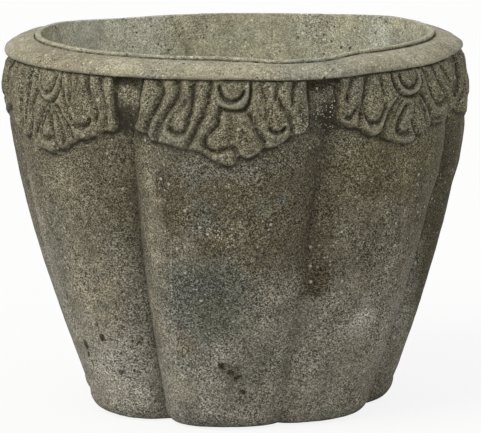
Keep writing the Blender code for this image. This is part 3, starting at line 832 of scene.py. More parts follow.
# For each of the seven leaves, its drawing, where these places lie on it, how far it is
# stretched downwards there, and what share of the relief it has
LEAVES = (
    (FRONT, LEAF_PLACES, EVEN, 1.0),
    (RIGHT, LEAF_PLACES, EVEN, 0.95),
    (FRONT, (-112, -60, -32, 4, 28, 62, 98), (1.0, 1.0, 0.98, 0.98, 1.0, 1.04, 1.0), 0.5),
    (RIGHT, (-104, -60, -38, -4, 22, 58, 98), (1.04, 1.02, 1.06, 1.1, 1.08, 1.06, 1.1), 0.9),
    (FRONT, (-110, -64, -40, -8, 20, 54, 95), (0.98, 1.0, 1.02, 1.03, 1.0, 0.98, 0.96), 1.0),
    (LEFT, (-106, -60, -32, 2, 26, 60, 93), (0.98, 0.96, 0.96, 0.95, 0.92, 0.92, 0.94), 0.5),
    (LEFT, LEAF_PLACES, EVEN, 0.95),
)
# The first leaf's random numbers; each leaf has its own
LEAF_SEED = 20

# All in millimetres. How far the carving strays from the drawing, and over what width
STRAY, STRAY_WIDTH = 1.6, 7.0
# How far the carving is softened, and its bumps: height and width
SOFTENED, LEAF_BUMPS = 0.6, ((0.8, 6.0), (1.1, 1.5))
# Under the ring a leaf keeps this share of its height, and gets back to all of it lower down
TOP_SHARE, TOP_RUN = 0.72, 3.0
# The highest raised edge, and the half width above which an edge is a boss and isn't worn
# or given a painted highlight
HIGHEST_EDGE, BOSS_WIDTH = 2.6, 5
# How far a leaf's side runs past its outline, down into the pot
SIDE = 2.2
# The width over which a leaf's level is taken; what lies lower gets dirt and painted shade,
# what lies higher is worn and gets a painted highlight. The millimetres between which the dirt
# and painted shade fade in, in the grooves and in deep ones
LEVEL_SPREAD, GROOVE_DIRT_AND_SHADE, DEEP_DIRT_AND_SHADE = 3.5, (0.5, 2.5), (1.8, 2.6)
# Wear with a painted highlight: full so far above that level, with its ends inside the outline
WORN_AND_LIT_HEIGHT, WORN_AND_LIT_INSIDE = 1.5, (1.0, 6.0)
# Dirt and painted shade on a leaf's side: how much, and how far inside the outline it is full.
# The ring's painted shadow at its top: how far down from the ring it starts, and where it is full
SIDE_DIRT_AND_SHADE, SIDE_DIRT_AND_SHADE_FULL, TOP_SHADOW = 1.1, -0.2, (3.4, 0.4)
# Dirt and painted shadow on the pot round a leaf, darkest at its edge: how much, and how far it
# reaches
ROUND_DIRT_AND_SHADOW, ROUND_DIRT_AND_SHADOW_REACH = 2.2, 9


def blurred(field, width):
    """A field smoothed by a bell curve of a width in cells."""
    for axis in (0, 1):
        places = np.arange(field.shape[axis])
        weights = np.exp(-0.5 * ((places[:, None] - places[None, :]) / width) ** 2)
        weights /= weights.sum(axis=1, keepdims=True)
        field = np.tensordot(weights, field, axes=(1, axis))
        field = np.moveaxis(field, 0, axis)
    return field


def speckle(generator, shape, width):
    """Smooth random bumps of a width in cells, about -1 to 1."""
    field = blurred(generator.standard_normal(shape), width)
    return field / (np.abs(field).max() or 1.0)


def beyond_line(across, down, points):
    """How far each point lies beyond the edges of a line, in millimetres, 0 or less on it."""
    nearest = np.full(across.shape, 999.0)
    for (x0, y0, w0), (x1, y1, w1) in zip(points, points[1:]):
        run_x, run_y = x1 - x0, y1 - y0
        along = ((across - x0) * run_x + (down - y0) * run_y) / (run_x**2 + run_y**2)
        along = np.clip(along, 0.0, 1.0)
        away = np.hypot(across - x0 - along * run_x, down - y0 - along * run_y)
        nearest = np.minimum(nearest, away - w0 - (w1 - w0) * along)
    return nearest


def inside_outline(across, down, corners):
    """How far each point lies inside a closed outline, in millimetres, below 0 outside."""
    loop = [(x, y, 0.0) for x, y in (*corners, corners[0])]
    odd = np.zeros(across.shape, bool)
    for (x0, y0, _), (x1, y1, _) in zip(loop, loop[1:]):
        if y0 != y1:
            crossing = x0 + (down - y0) * (x1 - x0) / (y1 - y0)
            odd ^= ((down >= y0) != (down >= y1)) & (across < crossing)
    return np.where(odd, 1.0, -1.0) * beyond_line(across, down, loop)


def rounded(share_in):
    """A rise from 0 to 1, steep at first and level at the end."""
    return np.sin(np.clip(share_in, 0.0, 1.0) * math.pi / 2) ** 0.9


def as_drawn(across, down, places, stretches):
    """Where a point of one of the leaves lies on its drawing."""
    laid, drawn = ((row[0] - BESIDE, *row, row[-1] + BESIDE) for row in (places, LEAF_PLACES))
    return np.interp(across, laid, drawn), down / np.interp(across, places, stretches)


def lobe_width(pot):
    """Width of a lobe at its widest, along its round."""
    return (pot.rim_radius + pot.crown_proud) * math.tau / pot.lobes


def dirt_and_shadow_round_leaves(mesh, pot):
    """Adds dirt and painted shadow on the pot along the edges of its leaves."""
    x, y, z = point_array(mesh).T
    lean = pot.lean * np.maximum(1 - z / pot.body_height, 0)
    lobe = (np.arctan2(x, -y) + lean) * pot.lobes / math.tau
    down = (pot.body_height - z) / MM
    soil = np.zeros(len(x))
    for number, (drawing, places, stretches, _) in enumerate(LEAVES):
        away = (lobe - number + pot.lobes / 2) % pot.lobes - pot.lobes / 2
        across = away * lobe_width(pot) / MM
        near = (across > LEAF_LEFT) & (across < LEAF_RIGHT)
        near &= (down > -2) & (down < LEAF_DEEP + ROUND_DIRT_AND_SHADOW_REACH)
        drawn = as_drawn(across[near], down[near], places, stretches)
        inside = inside_outline(*drawn, drawing[0])
        reached = np.clip(1 + inside / ROUND_DIRT_AND_SHADOW_REACH, 0, 1) ** 2
        soil[near] = np.maximum(soil[near], ROUND_DIRT_AND_SHADOW * reached)
    layer = mesh.attributes["hollow"]
    kept = np.empty(len(x))
    layer.data.foreach_get("value", kept)
    layer.data.foreach_set("value", np.maximum(kept, soil))


def leaf_relief(leaf, across, down, row, seed):
    """Height of a leaf's carving in mm, the mm inside its outline, and its raised edges."""
    (outline, lines, edges), places, stretches, standing = row
    drawn_across, drawn_down = as_drawn(across, down, places, stretches)
    generator = np.random.default_rng(seed)
    cell = leaf.cell / MM
    drawn_across = drawn_across + STRAY * speckle(generator, across.shape, STRAY_WIDTH / cell)
    drawn_down = drawn_down + STRAY * speckle(generator, across.shape, STRAY_WIDTH / cell)
    inside = inside_outline(drawn_across, drawn_down, outline)
    kept = rounded(inside / leaf.edge_round * MM)
    for depth, slope, points in lines:
        thin = [(x, y, half * leaf.line_share) for x, y, half in points]
        beyond = beyond_line(drawn_across, drawn_down, thin)
        kept = np.minimum(kept, 1 - depth * (1 - rounded(beyond / slope / leaf.slope_share)))
    relief, ground = leaf.relief / MM, leaf.ground / MM
    height = ground + (relief - ground) * kept
    crest = np.zeros(across.shape)
    for edge_rise, points in edges:
        widest = max(point[2] for point in points)
        beyond = beyond_line(drawn_across, drawn_down, points)
        raised = edge_rise * kept**2 * rounded(-beyond / widest)
        height += raised
        if widest < BOSS_WIDTH:
            crest = np.maximum(crest, raised / HIGHEST_EDGE)
    height = height * (TOP_SHARE + (1 - TOP_SHARE) * smooth_step(down / TOP_RUN))
    height = np.where(inside < 0, inside, height)
    height = blurred(height, SOFTENED / cell)
    for bump, width in LEAF_BUMPS:
        height += bump * speckle(generator, height.shape, width / cell)
    return np.where(inside < 0, height, height * standing), inside, crest


def closed_plate(name, height, back, solid, across, down):
    """A closed mesh: a front whose height is in millimetres, a flat back, and sides."""
    cells = solid[:-1, :-1] & solid[1:, :-1] & solid[:-1, 1:] & solid[1:, 1:]
    used = np.zeros(across.shape, bool)
    for rows, columns in ((0, 0), (0, 1), (1, 0), (1, 1)):
        used[rows:rows + cells.shape[0], columns:columns + cells.shape[1]] |= cells
    total = int(used.sum())
    number = np.full(across.shape, -1)
    number[used] = np.arange(total)
    flat = np.stack([across[used] * MM, -down[used] * MM], axis=1)
    front = np.column_stack([flat, height[used] * MM])
    behind = np.column_stack([flat, np.full(total, -back)])
    above_left, above_right = number[:-1, :-1][cells], number[:-1, 1:][cells]
    below_left, below_right = number[1:, :-1][cells], number[1:, 1:][cells]
    faces = [np.stack([above_left, below_left, below_right, above_right], axis=1)]
    faces.append(faces[0][:, ::-1] + total)
    framed = np.pad(cells, 1)
    for row, column, start, end in (
        (0, 1, above_right, above_left),
        (2, 1, below_left, below_right),
        (1, 0, above_left, below_left),
        (1, 2, below_right, above_right),
    ):
        beside = framed[row:row + cells.shape[0], column:column + cells.shape[1]][cells]
        a, b = start[~beside], end[~beside]
        faces.append(np.stack([b, a, a + total, b + total], axis=1))
    mesh = bpy.data.meshes.new(name)
    mesh.from_pydata(np.concatenate([front, behind]).tolist(), [], np.concatenate(faces).tolist())
    return mesh, used


def leaf_mesh(name, pot, leaf, row, seed):
    """A leaf carved flat: x across, y up from the ring's bed, z out of the pot."""
    step = leaf.cell / MM
    across, down = np.meshgrid(
        np.arange(LEAF_LEFT, LEAF_RIGHT, step), np.arange(0.0, LEAF_DEEP, step)
    )
    height, inside, crest = leaf_relief(leaf, across, down, row, seed)
    mesh, used = closed_plate(name, height, leaf.back, inside > -SIDE, across, down)
    level = blurred(height, LEVEL_SPREAD / step)
    # Worn crests with painted highlight: raised edges, and what stands above the leaf's level
    crest = np.clip(crest + 0.5 * np.clip((height - level) / WORN_AND_LIT_HEIGHT, 0, 1), 0, 1)
    crest *= rise(inside, *WORN_AND_LIT_INSIDE)
    # Dirt and painted shade in the grooves and on the sides, and the ring's painted shadow at the
    # top
    low = np.clip(shares(level - height, *GROOVE_DIRT_AND_SHADE), 0, 1) ** 1.2
    low = np.maximum(low, np.clip(shares(level - height, *DEEP_DIRT_AND_SHADE), 0, 1))
    outside = SIDE_DIRT_AND_SHADE * rise(inside, SIDE, SIDE_DIRT_AND_SHADE_FULL)
    heights = pot.body_height - down * MM
    layers = {
        "hollow": np.clip(low + outside + rise(down, *TOP_SHADOW), 0, 1),
        "crest": crest,
        "wall_radius": crown_radius(pot, heights),
        "dip": stopped_depth(pot, heights),
    }
    for attribute, field in layers.items():
        add_attribute(mesh, attribute, np.tile(field[used], 2))
    return mesh


def leaf_tree():
    """Lays a flat leaf on one of the pot's lobes."""
    graph = PieceGraph("leaf_on_lobe")
    flat = graph.entry("Geometry", "NodeSocketGeometry")
    lobe = graph.entry("Lobe")
    sizes = {name: graph.entry(name) for name in POT_INPUTS}
    width = graph.entry("Lobe width")
    stone = graph.entry("Stone", "NodeSocketMaterial")
    point = graph.wire("GeometryNodeInputPosition")
    lobe = lobe + graph.axis(point, 0) / width
    height = sizes["Pot height"] + graph.axis(point, 1)
    radius = graph.named("wall_radius") + graph.axis(point, 2)
    place, _ = lobed_place(graph, lobe, height, radius, graph.named("dip"), sizes)
    place = uneven(graph, place, sizes)
    laid = graph.wire("GeometryNodeSetPosition", None, {0: flat, "Position": place})
    return graph.finish(laid, stone)


# ---- Stone

# What weather makes of the stone's own colour, as shares of it. The last tint is painted shade
# instead, and the dark and pit tints also paint shade and shadow in some stains
TINTS = {
    "grey": (0.65, 0.71, 0.77),
    "brown": (0.66, 0.60, 0.48),
    "umber": (0.84, 0.79, 0.68),
    "dark": (0.46, 0.41, 0.32),
    "olive": (0.78, 0.75, 0.55),
    "green": (0.84, 0.94, 0.90),
    "pink": (1.06, 0.98, 0.92),
    "gold": (1.24, 1.20, 1.06),
    "buff": (1.48, 1.44, 1.37),
    "cream": (1.66, 1.68, 1.76),
    "ash": (1.45, 1.44, 1.50),
    "chalk": (2.10, 2.13, 2.38),
    "rust": (1.50, 1.14, 0.84),
    "yellow": (1.22, 1.19, 1.02),
    "mint": (1.10, 1.16, 1.26),
    "pit": (0.24, 0.21, 0.16),
    "painted_shade": (0.44, 0.41, 0.30),
}
# Stains by piece, some of which are painted light and shade as noted: degrees round the pot,
# height, half width and half height in millimetres, tint and strength
STAINS = {
    "body_stone": (
        (8, 285, 110, 90, "brown", 0.6), (62, 290, 80, 110, "brown", 0.6),
        (11, 256, 46, 44, "brown", 0.55), (-5, 245, 22, 24, "brown", 0.9),
        (-3, 300, 30, 26, "umber", 0.6), (-14, 262, 34, 30, "umber", 0.5),
        (-13, 315, 30, 20, "grey", 0.75), (-0.5, 334, 62, 13, "mint", 0.5),
        (12.8, 292, 7, 8, "mint", 0.7), (8, 283, 11, 13, "green", 0.6),
        (-10.8, 272, 40, 28, "grey", 0.6), (-8, 170, 62, 58, "grey", 0.95),
        (-3, 144, 40, 36, "green", 0.7), (5, 207, 7, 8, "brown", 0.7),
        (2, 264, 6, 6, "buff", 0.6), (13, 292, 8, 7, "mint", 0.7),
        (10, 76, 44, 42, "green", 0.4), (21, 33, 20, 26, "mint", 0.7),
        (24, 256, 40, 90, "brown", 0.8), (25.5, 193, 26, 30, "dark", 1.0),
        (21.5, 162, 11, 26, "dark", 0.7), (21, 330, 14, 44, "brown", 0.8),
        (44, 322, 96, 44, "olive", 0.85), (34.5, 310, 7, 7, "buff", 0.7),
        (40, 256, 40, 22, "umber", 0.6), (38, 215, 50, 32, "brown", 0.45),
        (42, 182, 34, 18, "pink", 0.6), (42, 127, 22, 34, "chalk", 0.95),
        # The buff stains at -20.5, -22.5 and -26 degrees are painted light on the front lobe's side
        # that faces the sun
        (44, 89, 10, 10, "rust", 0.6), (-20.5, 296, 14, 64, "buff", 1.0),
        (-22.5, 226, 15, 60, "buff", 1.0), (-26, 150, 13, 50, "buff", 0.9),
        (-18, 55, 26, 25, "cream", 0.95), (-15, 110, 16, 16, "pink", 0.9),
        (20, 45, 52, 44, "ash", 0.8), (46, 62, 60, 58, "ash", 0.95),
        # The stains at 87 and 80 degrees are painted shade down the pot's right side, away from the
        # sun, and the weak one at -90 degrees painted shade at its left edge
        (87, 212, 50, 195, "painted_shade", 1.0), (-70, 240, 40, 100, "cream", 0.75),
        (-90, 280, 26, 150, "painted_shade", 0.25), (-84, 100, 44, 80, "cream", 0.8),
        # The narrow dark stain at 76.5 degrees is painted shade beyond a lobe's edge, and the
        # narrow cream and buff ones at -71 and 70.5 degrees are painted highlights along lobes'
        # edges
        (76.5, 250, 8, 120, "dark", 0.8), (-71, 240, 7, 130, "cream", 0.8),
        (70.5, 250, 6, 110, "buff", 0.6), (-81, 250, 34, 60, "buff", 0.6),
        # The narrow brown stains at -28, -31 and -33 degrees follow the left valley: dirt with
        # painted shade of its crease
        (-28, 245, 9, 100, "brown", 0.6), (-33, 80, 8, 60, "brown", 0.5),
        (-1.8, 77, 15, 15, "dark", 0.6), (-31, 280, 18, 100, "brown", 0.5),
        # The dark stains at -24.5 and 26 degrees and the pit stain at 26 degrees, 384 mm up, are
        # painted shade in the notches under the stops
        (-46, 143, 18, 46, "pink", 0.7), (-24.5, 382, 26, 22, "dark", 1.0),
        (80, 305, 36, 80, "painted_shade", 0.9), (-27.5, 422, 15, 12, "gold", 0.7),
        (26, 388, 20, 30, "dark", 0.65), (-47, 300, 36, 34, "gold", 0.7),
        (-45, 163, 46, 64, "buff", 0.8), (-42, 189, 7, 9, "mint", 0.7),
        (-42, 151, 9, 7, "grey", 0.7), (-50, 100, 50, 50, "cream", 0.8),
        (-55, 28, 40, 32, "cream", 0.9), (-42, 62, 58, 48, "chalk", 0.9),
        (-15, 290, 28, 50, "brown", 0.85), (76, 62, 40, 34, "cream", 0.6),
        (120, 240, 60, 80, "umber", 0.7), (150, 110, 50, 44, "buff", 0.8),
        (-110, 210, 44, 60, "grey", 0.7), (-150, 300, 60, 40, "olive", 0.8),
        (180, 180, 40, 50, "brown", 0.6), (-165, 70, 46, 36, "cream", 0.6),
        (-4, 84, 5, 6, "pit", 1.0), (-1, 76, 4, 4, "pit", 1.0),
        (1, 70, 5, 4, "pit", 0.9), (3, 50, 5, 4, "pit", 1.0),
        (-43, 64, 4, 5, "pit", 0.9), (-56, 92, 5, 10, "pit", 1.0),
        (-56, 80, 3, 6, "pit", 1.0), (-55, 71, 3, 5, "pit", 0.9),
        (-46.8, 123, 3, 4, "pit", 0.8), (-80, 58, 5, 8, "pit", 0.9),
        (-81, 103, 5, 9, "pit", 1.0), (-46, 107, 5, 6, "pit", 1.0),
        # The long pit stains at -28 and 22.5 degrees just under the ring are its painted shadow
        (-28, 432, 26, 6, "pit", 0.75), (22.5, 427, 28, 11, "pit", 0.95),
        (26, 384, 20, 12, "pit", 0.62), (-21.5, 216, 3, 7, "chalk", 1.0),
    ),
    "rim_stone": (
        (-82, 450, 90, 40, "yellow", 0.15), (-50, 446, 60, 30, "umber", 0.8),
        (-28, 446, 26, 20, "yellow", 0.3), (0, 446, 60, 20, "gold", 0.25),
        (50, 446, 50, 20, "gold", 0.35), (90, 446, 60, 30, "gold", 0.2),
        (150, 446, 60, 30, "grey", 0.5), (-56, 446, 84, 30, "dark", 0.16),
    ),
    "lining_stone": (
        # The cream stain at -132 degrees is painted light on the lining's wall, where the pot's rim
        # shades it
        (-132, 425, 120, 60, "cream", 0.95), (152, 430, 22, 24, "mint", 0.9),
        (130, 425, 50, 40, "mint", 0.5), (180, 420, 50, 30, "green", 0.4),
        (-132, 425, 110, 60, "olive", 0.22), (-136, 428, 24, 14, "brown", 0.45),
        (155, 417, 2.5, 6, "chalk", 0.9),
    ),
    "leaf_stone": (
        (13.5, 425, 7, 8, "mint", 0.9), (-50, 410, 50, 40, "gold", 0.3),
        # The dark stains at 26.5 and -24 degrees are painted shade in the notches beside the
        # leaves, and the one at -92 degrees painted shade at the pot's left edge
        (70, 400, 60, 50, "olive", 0.6), (26.5, 400, 20, 34, "dark", 0.6),
        (-24, 385, 18, 26, "dark", 0.8), (-92, 385, 30, 60, "painted_shade", 0.6),
    ),
}


# Finish of each stone: its colour, the contrast of its grain, how mottled the grain is, the
# share of its dirt and painted shade, and how pale its worn crests are, with painted highlight
FINISHES = {
    "body_stone": ("body", 0.91, 1.1, 0.9, 0.0),
    "rim_stone": ("rim", 0.34, 2.2, 0.9, 0.0),
    "lining_stone": ("lining", 0.38, 2.6, 0.8, 0.0),
    "leaf_stone": ("leaf", 0.93, 1.1, 0.9, 0.24),
}
# Widths of the stone's clouds, in metres: broad and small ones, places of stronger grain,
# and places where the rain has washed the dirt off
BROAD, CLOUD, GRITTY, WASHED = 0.130, 0.024, 0.050, 0.012
# How far the stains stray from round shapes, and over what width; a stain narrower than so
# many millimetres strays less
DRIFT_WIDTH, DRIFT, NEAR_DRIFT, SMALL_STAIN = 0.026, (0.034,) * 3, (0.009,) * 3, 12
# The heights between which the tint above turns into the tint below
TINT_TOP, TINT_BOTTOM = 0.34, 0.06
# Tints of the broad clouds: the noise between which they fade in, the tint, its strength
BROAD_TINTS = ((0.46, 0.66, "umber", 0.5), (0.50, 0.34, "grey", 0.4))
# Layers of the grain: widths, in grains, and shares. The first one's share is how mottled
# the stone is
BLOTCH, COARSE, FINE, GRIT, SAND = 5.0, 1.7, 0.7, 0.5, 1.15
COARSE_SHARE, FINE_SHARE, GRIT_SHARE, SAND_SHARE = 0.5, 0.3, 3.2, 0.25
# The grain's strength on dark stone, how much pale stains take off it, and its least
DARK_STRENGTH, PALE_LOSS, LEAST_STRENGTH = 1.2, 0.25, 0.75
# The noise between which places turn gritty or are washed
GRITTY_RANGE, WASHED_RANGE = (0.38, 0.62), (0.34, 0.62)
# How much of something there is everywhere, and how much more in gritty or washed places
GRITTY_GRAIN, GRITTY_PITS = (0.78, 0.4), (0.25, 0.6)
WASHED_DIRT_AND_SHADE, WASHED_BARE = (0.3, 0.7), (0.3, 0.6)
# How far strong grain is dimmed, and the stone's level: for grain of no contrast, and how
# much less of that with contrast
DIMMED, LEVEL, LEVEL_LOSS = 0.2, 0.16, 0.11
# How strong the small clouds are, and the shares of red, green and blue in lightness
CLOUD_SHARE, LIGHTNESS = 1.1, (0.3, 0.5, 0.2)
# Tints of its darkest and palest grains, and how fast one turns into the other
DARK_GRAIN, PALE_GRAIN, HUE_SHARE = (1.03, 1.0, 0.86), (0.97, 1.0, 1.10), 0.6
# Pale chips and pits, small and large: width of their cells in grains, their radius as a
# share of it, and the share of the cells that have one
CHIPS = ((1.5, 0.34, 0.08), (4.2, 0.20, 0.14))
PITS = ((2.0, 0.30, 0.10), (5.0, 0.17, 0.16))
BARE = (1.1, 0.36, 0.30)
# A chip is at least so much paler than its stone, and a bare grain than a chip, and how
# much of the stone's colour a chip hides
CHIP_RISE, BARE_RISE, CHIP_COVER = 1.7, 1.5, 0.8
# The relief of the surface, in millimetres: grains, clouds, grit, chips, and depth of the pits
GRAIN_HIGH, CLOUD_HIGH, GRIT_HIGH, CHIP_HIGH, PIT_DEEP = 0.2, 0.9, 0.25, 0.2, 0.8
# Roughness in the coarse grain, and how strongly the stone mirrors
ROUGHNESS, MIRRORING = (0.82, 0.2), 0.25
# Places where the stone has lost its skin and pale grains lie bare: degrees round the pot,
# height, half width and half height in millimetres
SPARKLES = {
    "body_stone": ((26, 396, 28, 32), (-27, 414, 15, 12), (-2, 250, 30, 24)),
    "leaf_stone": ((18, 392, 16, 18), (-30, 360, 18, 12)),
}


def piece_attribute(graph, name):
    """An attribute of the piece, for its shader."""
    settings = {"attribute_type": "GEOMETRY", "attribute_name": name}
    return graph.wire("ShaderNodeAttribute", settings, None, "Fac")


def noise(graph, place, width, detail, roughness, output=0):
    """Smooth noise of a width in metres, from about 0.2 to 0.8."""
    sockets = {"Vector": place, "Scale": 1 / width, "Detail": detail, "Roughness": roughness}
    return graph.wire("ShaderNodeTexNoise", None, sockets, output)


def round_cells(graph, place, width):
    """Round cells of a width in metres: distance from the middle, and a random value."""
    sockets = {"Vector": place, "Scale": 1 / width}
    node = graph.node("ShaderNodeTexVoronoi", {"feature": "F1"}, sockets)
    value = graph.wire("ShaderNodeSeparateColor", None, {0: Wire(graph, node.outputs["Color"])})
    return Wire(graph, node.outputs["Distance"]), value


def spots(graph, place, width, radius, share_of_cells):
    """Round spots in some of the cells of a width: 1 inside them."""
    far, value = round_cells(graph, place, width)
    inside = graph.ramp(far, radius * 1.3, radius * 0.7)
    return inside * graph.ramp(value, 1 - share_of_cells, 1.02 - share_of_cells)


def two_spots(graph, place, size, rows):
    """Spots of two widths, which are given in grains."""
    small, large = (spots(graph, place, size * width, *rest) for width, *rest in rows)
    return small.maths("MAXIMUM", large)


def wall_point(pot, degrees, height):
    """A point of the pot's wall by its angle and its height."""
    turn = math.radians(degrees)
    lean = pot.lean * max(1 - height / pot.body_height, 0.0)
    lobe = (turn + lean) * pot.lobes / math.tau
    across = abs(lobe - round(lobe)) * 2
    low = min(height, pot.body_height)
    radius = crown_radius(pot, low) - stopped_depth(pot, low) * across**pot.sharpness
    return float(radius * math.sin(turn)), float(-radius * math.cos(turn)), height


def patch(graph, place, pot, degrees, height, wide, high):
    """1 in the middle of a soft-edged place on the pot, 0 outside it."""
    middle = wall_point(pot, degrees, height * MM)
    scale = (1 / (wide * MM), 1 / (wide * MM), 1 / (high * MM))
    shift = tuple(-at * size for at, size in zip(middle, scale))
    away = graph.vector("LENGTH", graph.vector("MULTIPLY_ADD", place, scale, shift))
    return graph.ramp(away, 1.25, 0.45)


def stained(graph, strayed, near, tint, pot, stains):
    """Lays soft-edged stains over a tint; the small ones keep closer to their places."""
    for degrees, height, wide, high, name, strength in stains:
        place = near if wide < SMALL_STAIN else strayed
        inside = patch(graph, place, pot, degrees, height, wide, high)
        tint = graph.blend(inside * strength, tint, TINTS[name])
    return tint


def with_more(terms, value):
    """So much of something everywhere, and so much more where a value is 1."""
    everywhere, more = terms
    return everywhere + value * more


def grain_layers(graph, place, strayed, size, mottle):
    """The grain, about -1 to 1, with two of its layers for the relief."""
    blotch = noise(graph, strayed, size * BLOTCH, 2.0, 0.6)
    coarse = noise(graph, place, size * COARSE, 2.0, 0.6)
    fine = noise(graph, place, size * FINE, 1.0, 0.5)
    _, grit = round_cells(graph, place, size * GRIT)
    _, sand = round_cells(graph, place, size * SAND)
    soft = (blotch - 0.5) * mottle + (coarse - 0.5) * COARSE_SHARE + (fine - 0.5) * FINE_SHARE
    grain = soft + (grit - 0.5) * GRIT_SHARE + (sand - 0.5) * SAND_SHARE
    return grain, coarse, coarse * GRAIN_HIGH + fine * GRAIN_HIGH, grit


def stone_material(slot):
    """Weathered cast stone: sand grains, pits, stains, dirt and painted shade in the hollows, worn
    crests with painted highlight.
    """
    look, pot = bpy.context.scene.planter_colours, bpy.context.scene.planter_pot
    base_name, contrast, mottle, soil_and_shade_share, wear_and_highlight = FINISHES[slot]
    base = tuple(getattr(look, base_name))
    material = bpy.data.materials.new(slot + "_worn")
    material.use_nodes = True
    material.diffuse_color = (*base, 1.0)
    tree = material.node_tree
    shader = tree.nodes["Principled BSDF"]
    graph = Graph(tree)
    place = graph.wire("ShaderNodeTexCoord", None, None, "Object")
    size = look.grain_size
    drift = graph.vector("SUBTRACT", noise(graph, place, DRIFT_WIDTH, 3.0, 0.62, 1), (0.5,) * 3)
    strayed = graph.vector("MULTIPLY_ADD", drift, DRIFT, place)
    near = graph.vector("MULTIPLY_ADD", drift, NEAR_DRIFT, place)
    broad = noise(graph, place, BROAD, 3.0, 0.6)
    cloud = noise(graph, place, CLOUD, 4.0, 0.66)

    below = graph.ramp(graph.axis(strayed, 2), TINT_TOP, TINT_BOTTOM)
    tint = graph.blend(below, look.high_tint, look.low_tint)
    for low, high, name, strength in BROAD_TINTS:
        tint = graph.blend(graph.ramp(broad, low, high) * strength, tint, TINTS[name])
    tint = stained(graph, strayed, near, tint, pot, STAINS[slot])
    colour_now = graph.vector("MULTIPLY", tint, base)

    # Grain, which is weaker on pale stains and stronger in some places
    lightness = graph.vector("DOT_PRODUCT", tint, LIGHTNESS)
    gritty = graph.ramp(noise(graph, strayed, GRITTY, 2.0, 0.6), *GRITTY_RANGE)
    strength = (DARK_STRENGTH - lightness * PALE_LOSS).maths("MAXIMUM", LEAST_STRENGTH)
    strength = strength * with_more(GRITTY_GRAIN, gritty) * contrast
    grain, coarse, specks, grit = grain_layers(graph, place, strayed, size, mottle)
    grain = grain * strength
    level = grain - grain**2 * DIMMED - (LEVEL - LEVEL_LOSS * contrast)
    shade = (1 + (cloud - 0.5) * CLOUD_SHARE) * level.maths("EXPONENT")
    colour_now = graph.vector("SCALE", colour_now, Scale=shade)
    hued = graph.blend(graph.clamped(grain * HUE_SHARE + 0.5), DARK_GRAIN, PALE_GRAIN)
    colour_now = graph.vector("MULTIPLY", colour_now, hued)

    # Worn crests with painted highlight, pale chips, dirt with painted shade, pits, and bare grains
    # over all of them
    hollow, crest = piece_attribute(graph, "hollow"), piece_attribute(graph, "crest")
    colour_now = graph.vector("SCALE", colour_now, Scale=1 + crest * wear_and_highlight)
    colour_now = graph.blend(graph.clamped(crest * wear_and_highlight), colour_now, look.chalk)
    pale = two_spots(graph, place, size, CHIPS)
    chip = [max(chalky, CHIP_RISE * own) for chalky, own in zip(look.chalk, base)]
    colour_now = graph.blend(pale * CHIP_COVER, colour_now, chip)
    pits = two_spots(graph, place, size, PITS)
    washed = graph.ramp(noise(graph, place, WASHED, 2.0, 0.6), *WASHED_RANGE)
    dirt = hollow * with_more(WASHED_DIRT_AND_SHADE, washed) * soil_and_shade_share
    dirt = dirt + pits * with_more(GRITTY_PITS, gritty)
    colour_now = graph.blend(graph.clamped(dirt), colour_now, look.soil)
    fresh = [BARE_RISE * channel for channel in chip]
    width, *rest = BARE
    for sparkle in SPARKLES.get(slot, ()):
        bare = spots(graph, place, size * width, *rest) * patch(graph, strayed, pot, *sparkle)
        colour_now = graph.blend(bare * with_more(WASHED_BARE, washed), colour_now, fresh)
    tree.links.new(colour_now.socket, shader.inputs["Base Color"])

    relief = specks + cloud * CLOUD_HIGH + grit * GRIT_HIGH - pits * PIT_DEEP
    relief = relief + pale * CHIP_HIGH
    sockets = {"Strength": 1.0, "Distance": MM, "Height": relief}
    bump = graph.wire("ShaderNodeBump", None, sockets)
    tree.links.new(bump.socket, shader.inputs["Normal"])
    rough = graph.clamped(with_more(ROUGHNESS, coarse))
    tree.links.new(rough.socket, shader.inputs["Roughness"])
    shader.inputs["Specular IOR Level"].default_value = MIRRORING
    return material


def stone_of(slot):
    """The material of a slot, made when it is first asked for."""
    return bpy.data.materials.get(slot + "_worn") or stone_material(slot)


# ---- Stage

# The floor lies so far under the pot; its colour, and how white the camera sees it
FLOOR_DROP, FLOOR_COLOUR, FLOOR_WHITE = 0.4 * MM, (0.82, 0.81, 0.79, 1), 0.86
# The sun's softness, its colour and where it shines to
SUN_SPREAD, SUN_COLOUR, SUN_TOWARDS = math.radians(40), (1.0, 0.985, 0.95), (0.60, 0.50, -0.68)
SKY_COLOUR, WHITE = (0.97, 0.98, 1.0, 1), (1, 1, 1, 1)
SENSOR_WIDTH = 36.0


def make_floor(stage):
    """A pale floor that is almost white to the camera and keeps the pot's shadow."""
    size = stage.floor_size
    mesh = bpy.data.meshes.new("floor")
    corners = [(-size, -size, 0), (size, -size, 0), (size, size, 0), (-size, size, 0)]
    mesh.from_pydata(corners, [], [(0, 1, 2, 3)])
    floor = add_object("floor", mesh)
    floor.location.z = -FLOOR_DROP
    material = bpy.data.materials.new("pale_floor")
    material.use_nodes = True
    material.node_tree.nodes.clear()
    graph = Graph(material.node_tree)
    matt = graph.wire("ShaderNodeBsdfDiffuse", None, {"Color": FLOOR_COLOUR})
    white = graph.wire("ShaderNodeEmission", None, {"Strength": 1.0})
    seen = graph.wire("ShaderNodeLightPath", None, None, "Is Camera Ray") * FLOOR_WHITE
    mixed = graph.wire("ShaderNodeMixShader", None, {0: seen, 1: matt, 2: white})
    graph.node("ShaderNodeOutputMaterial", None, {0: mixed})
    mesh.materials.append(material)


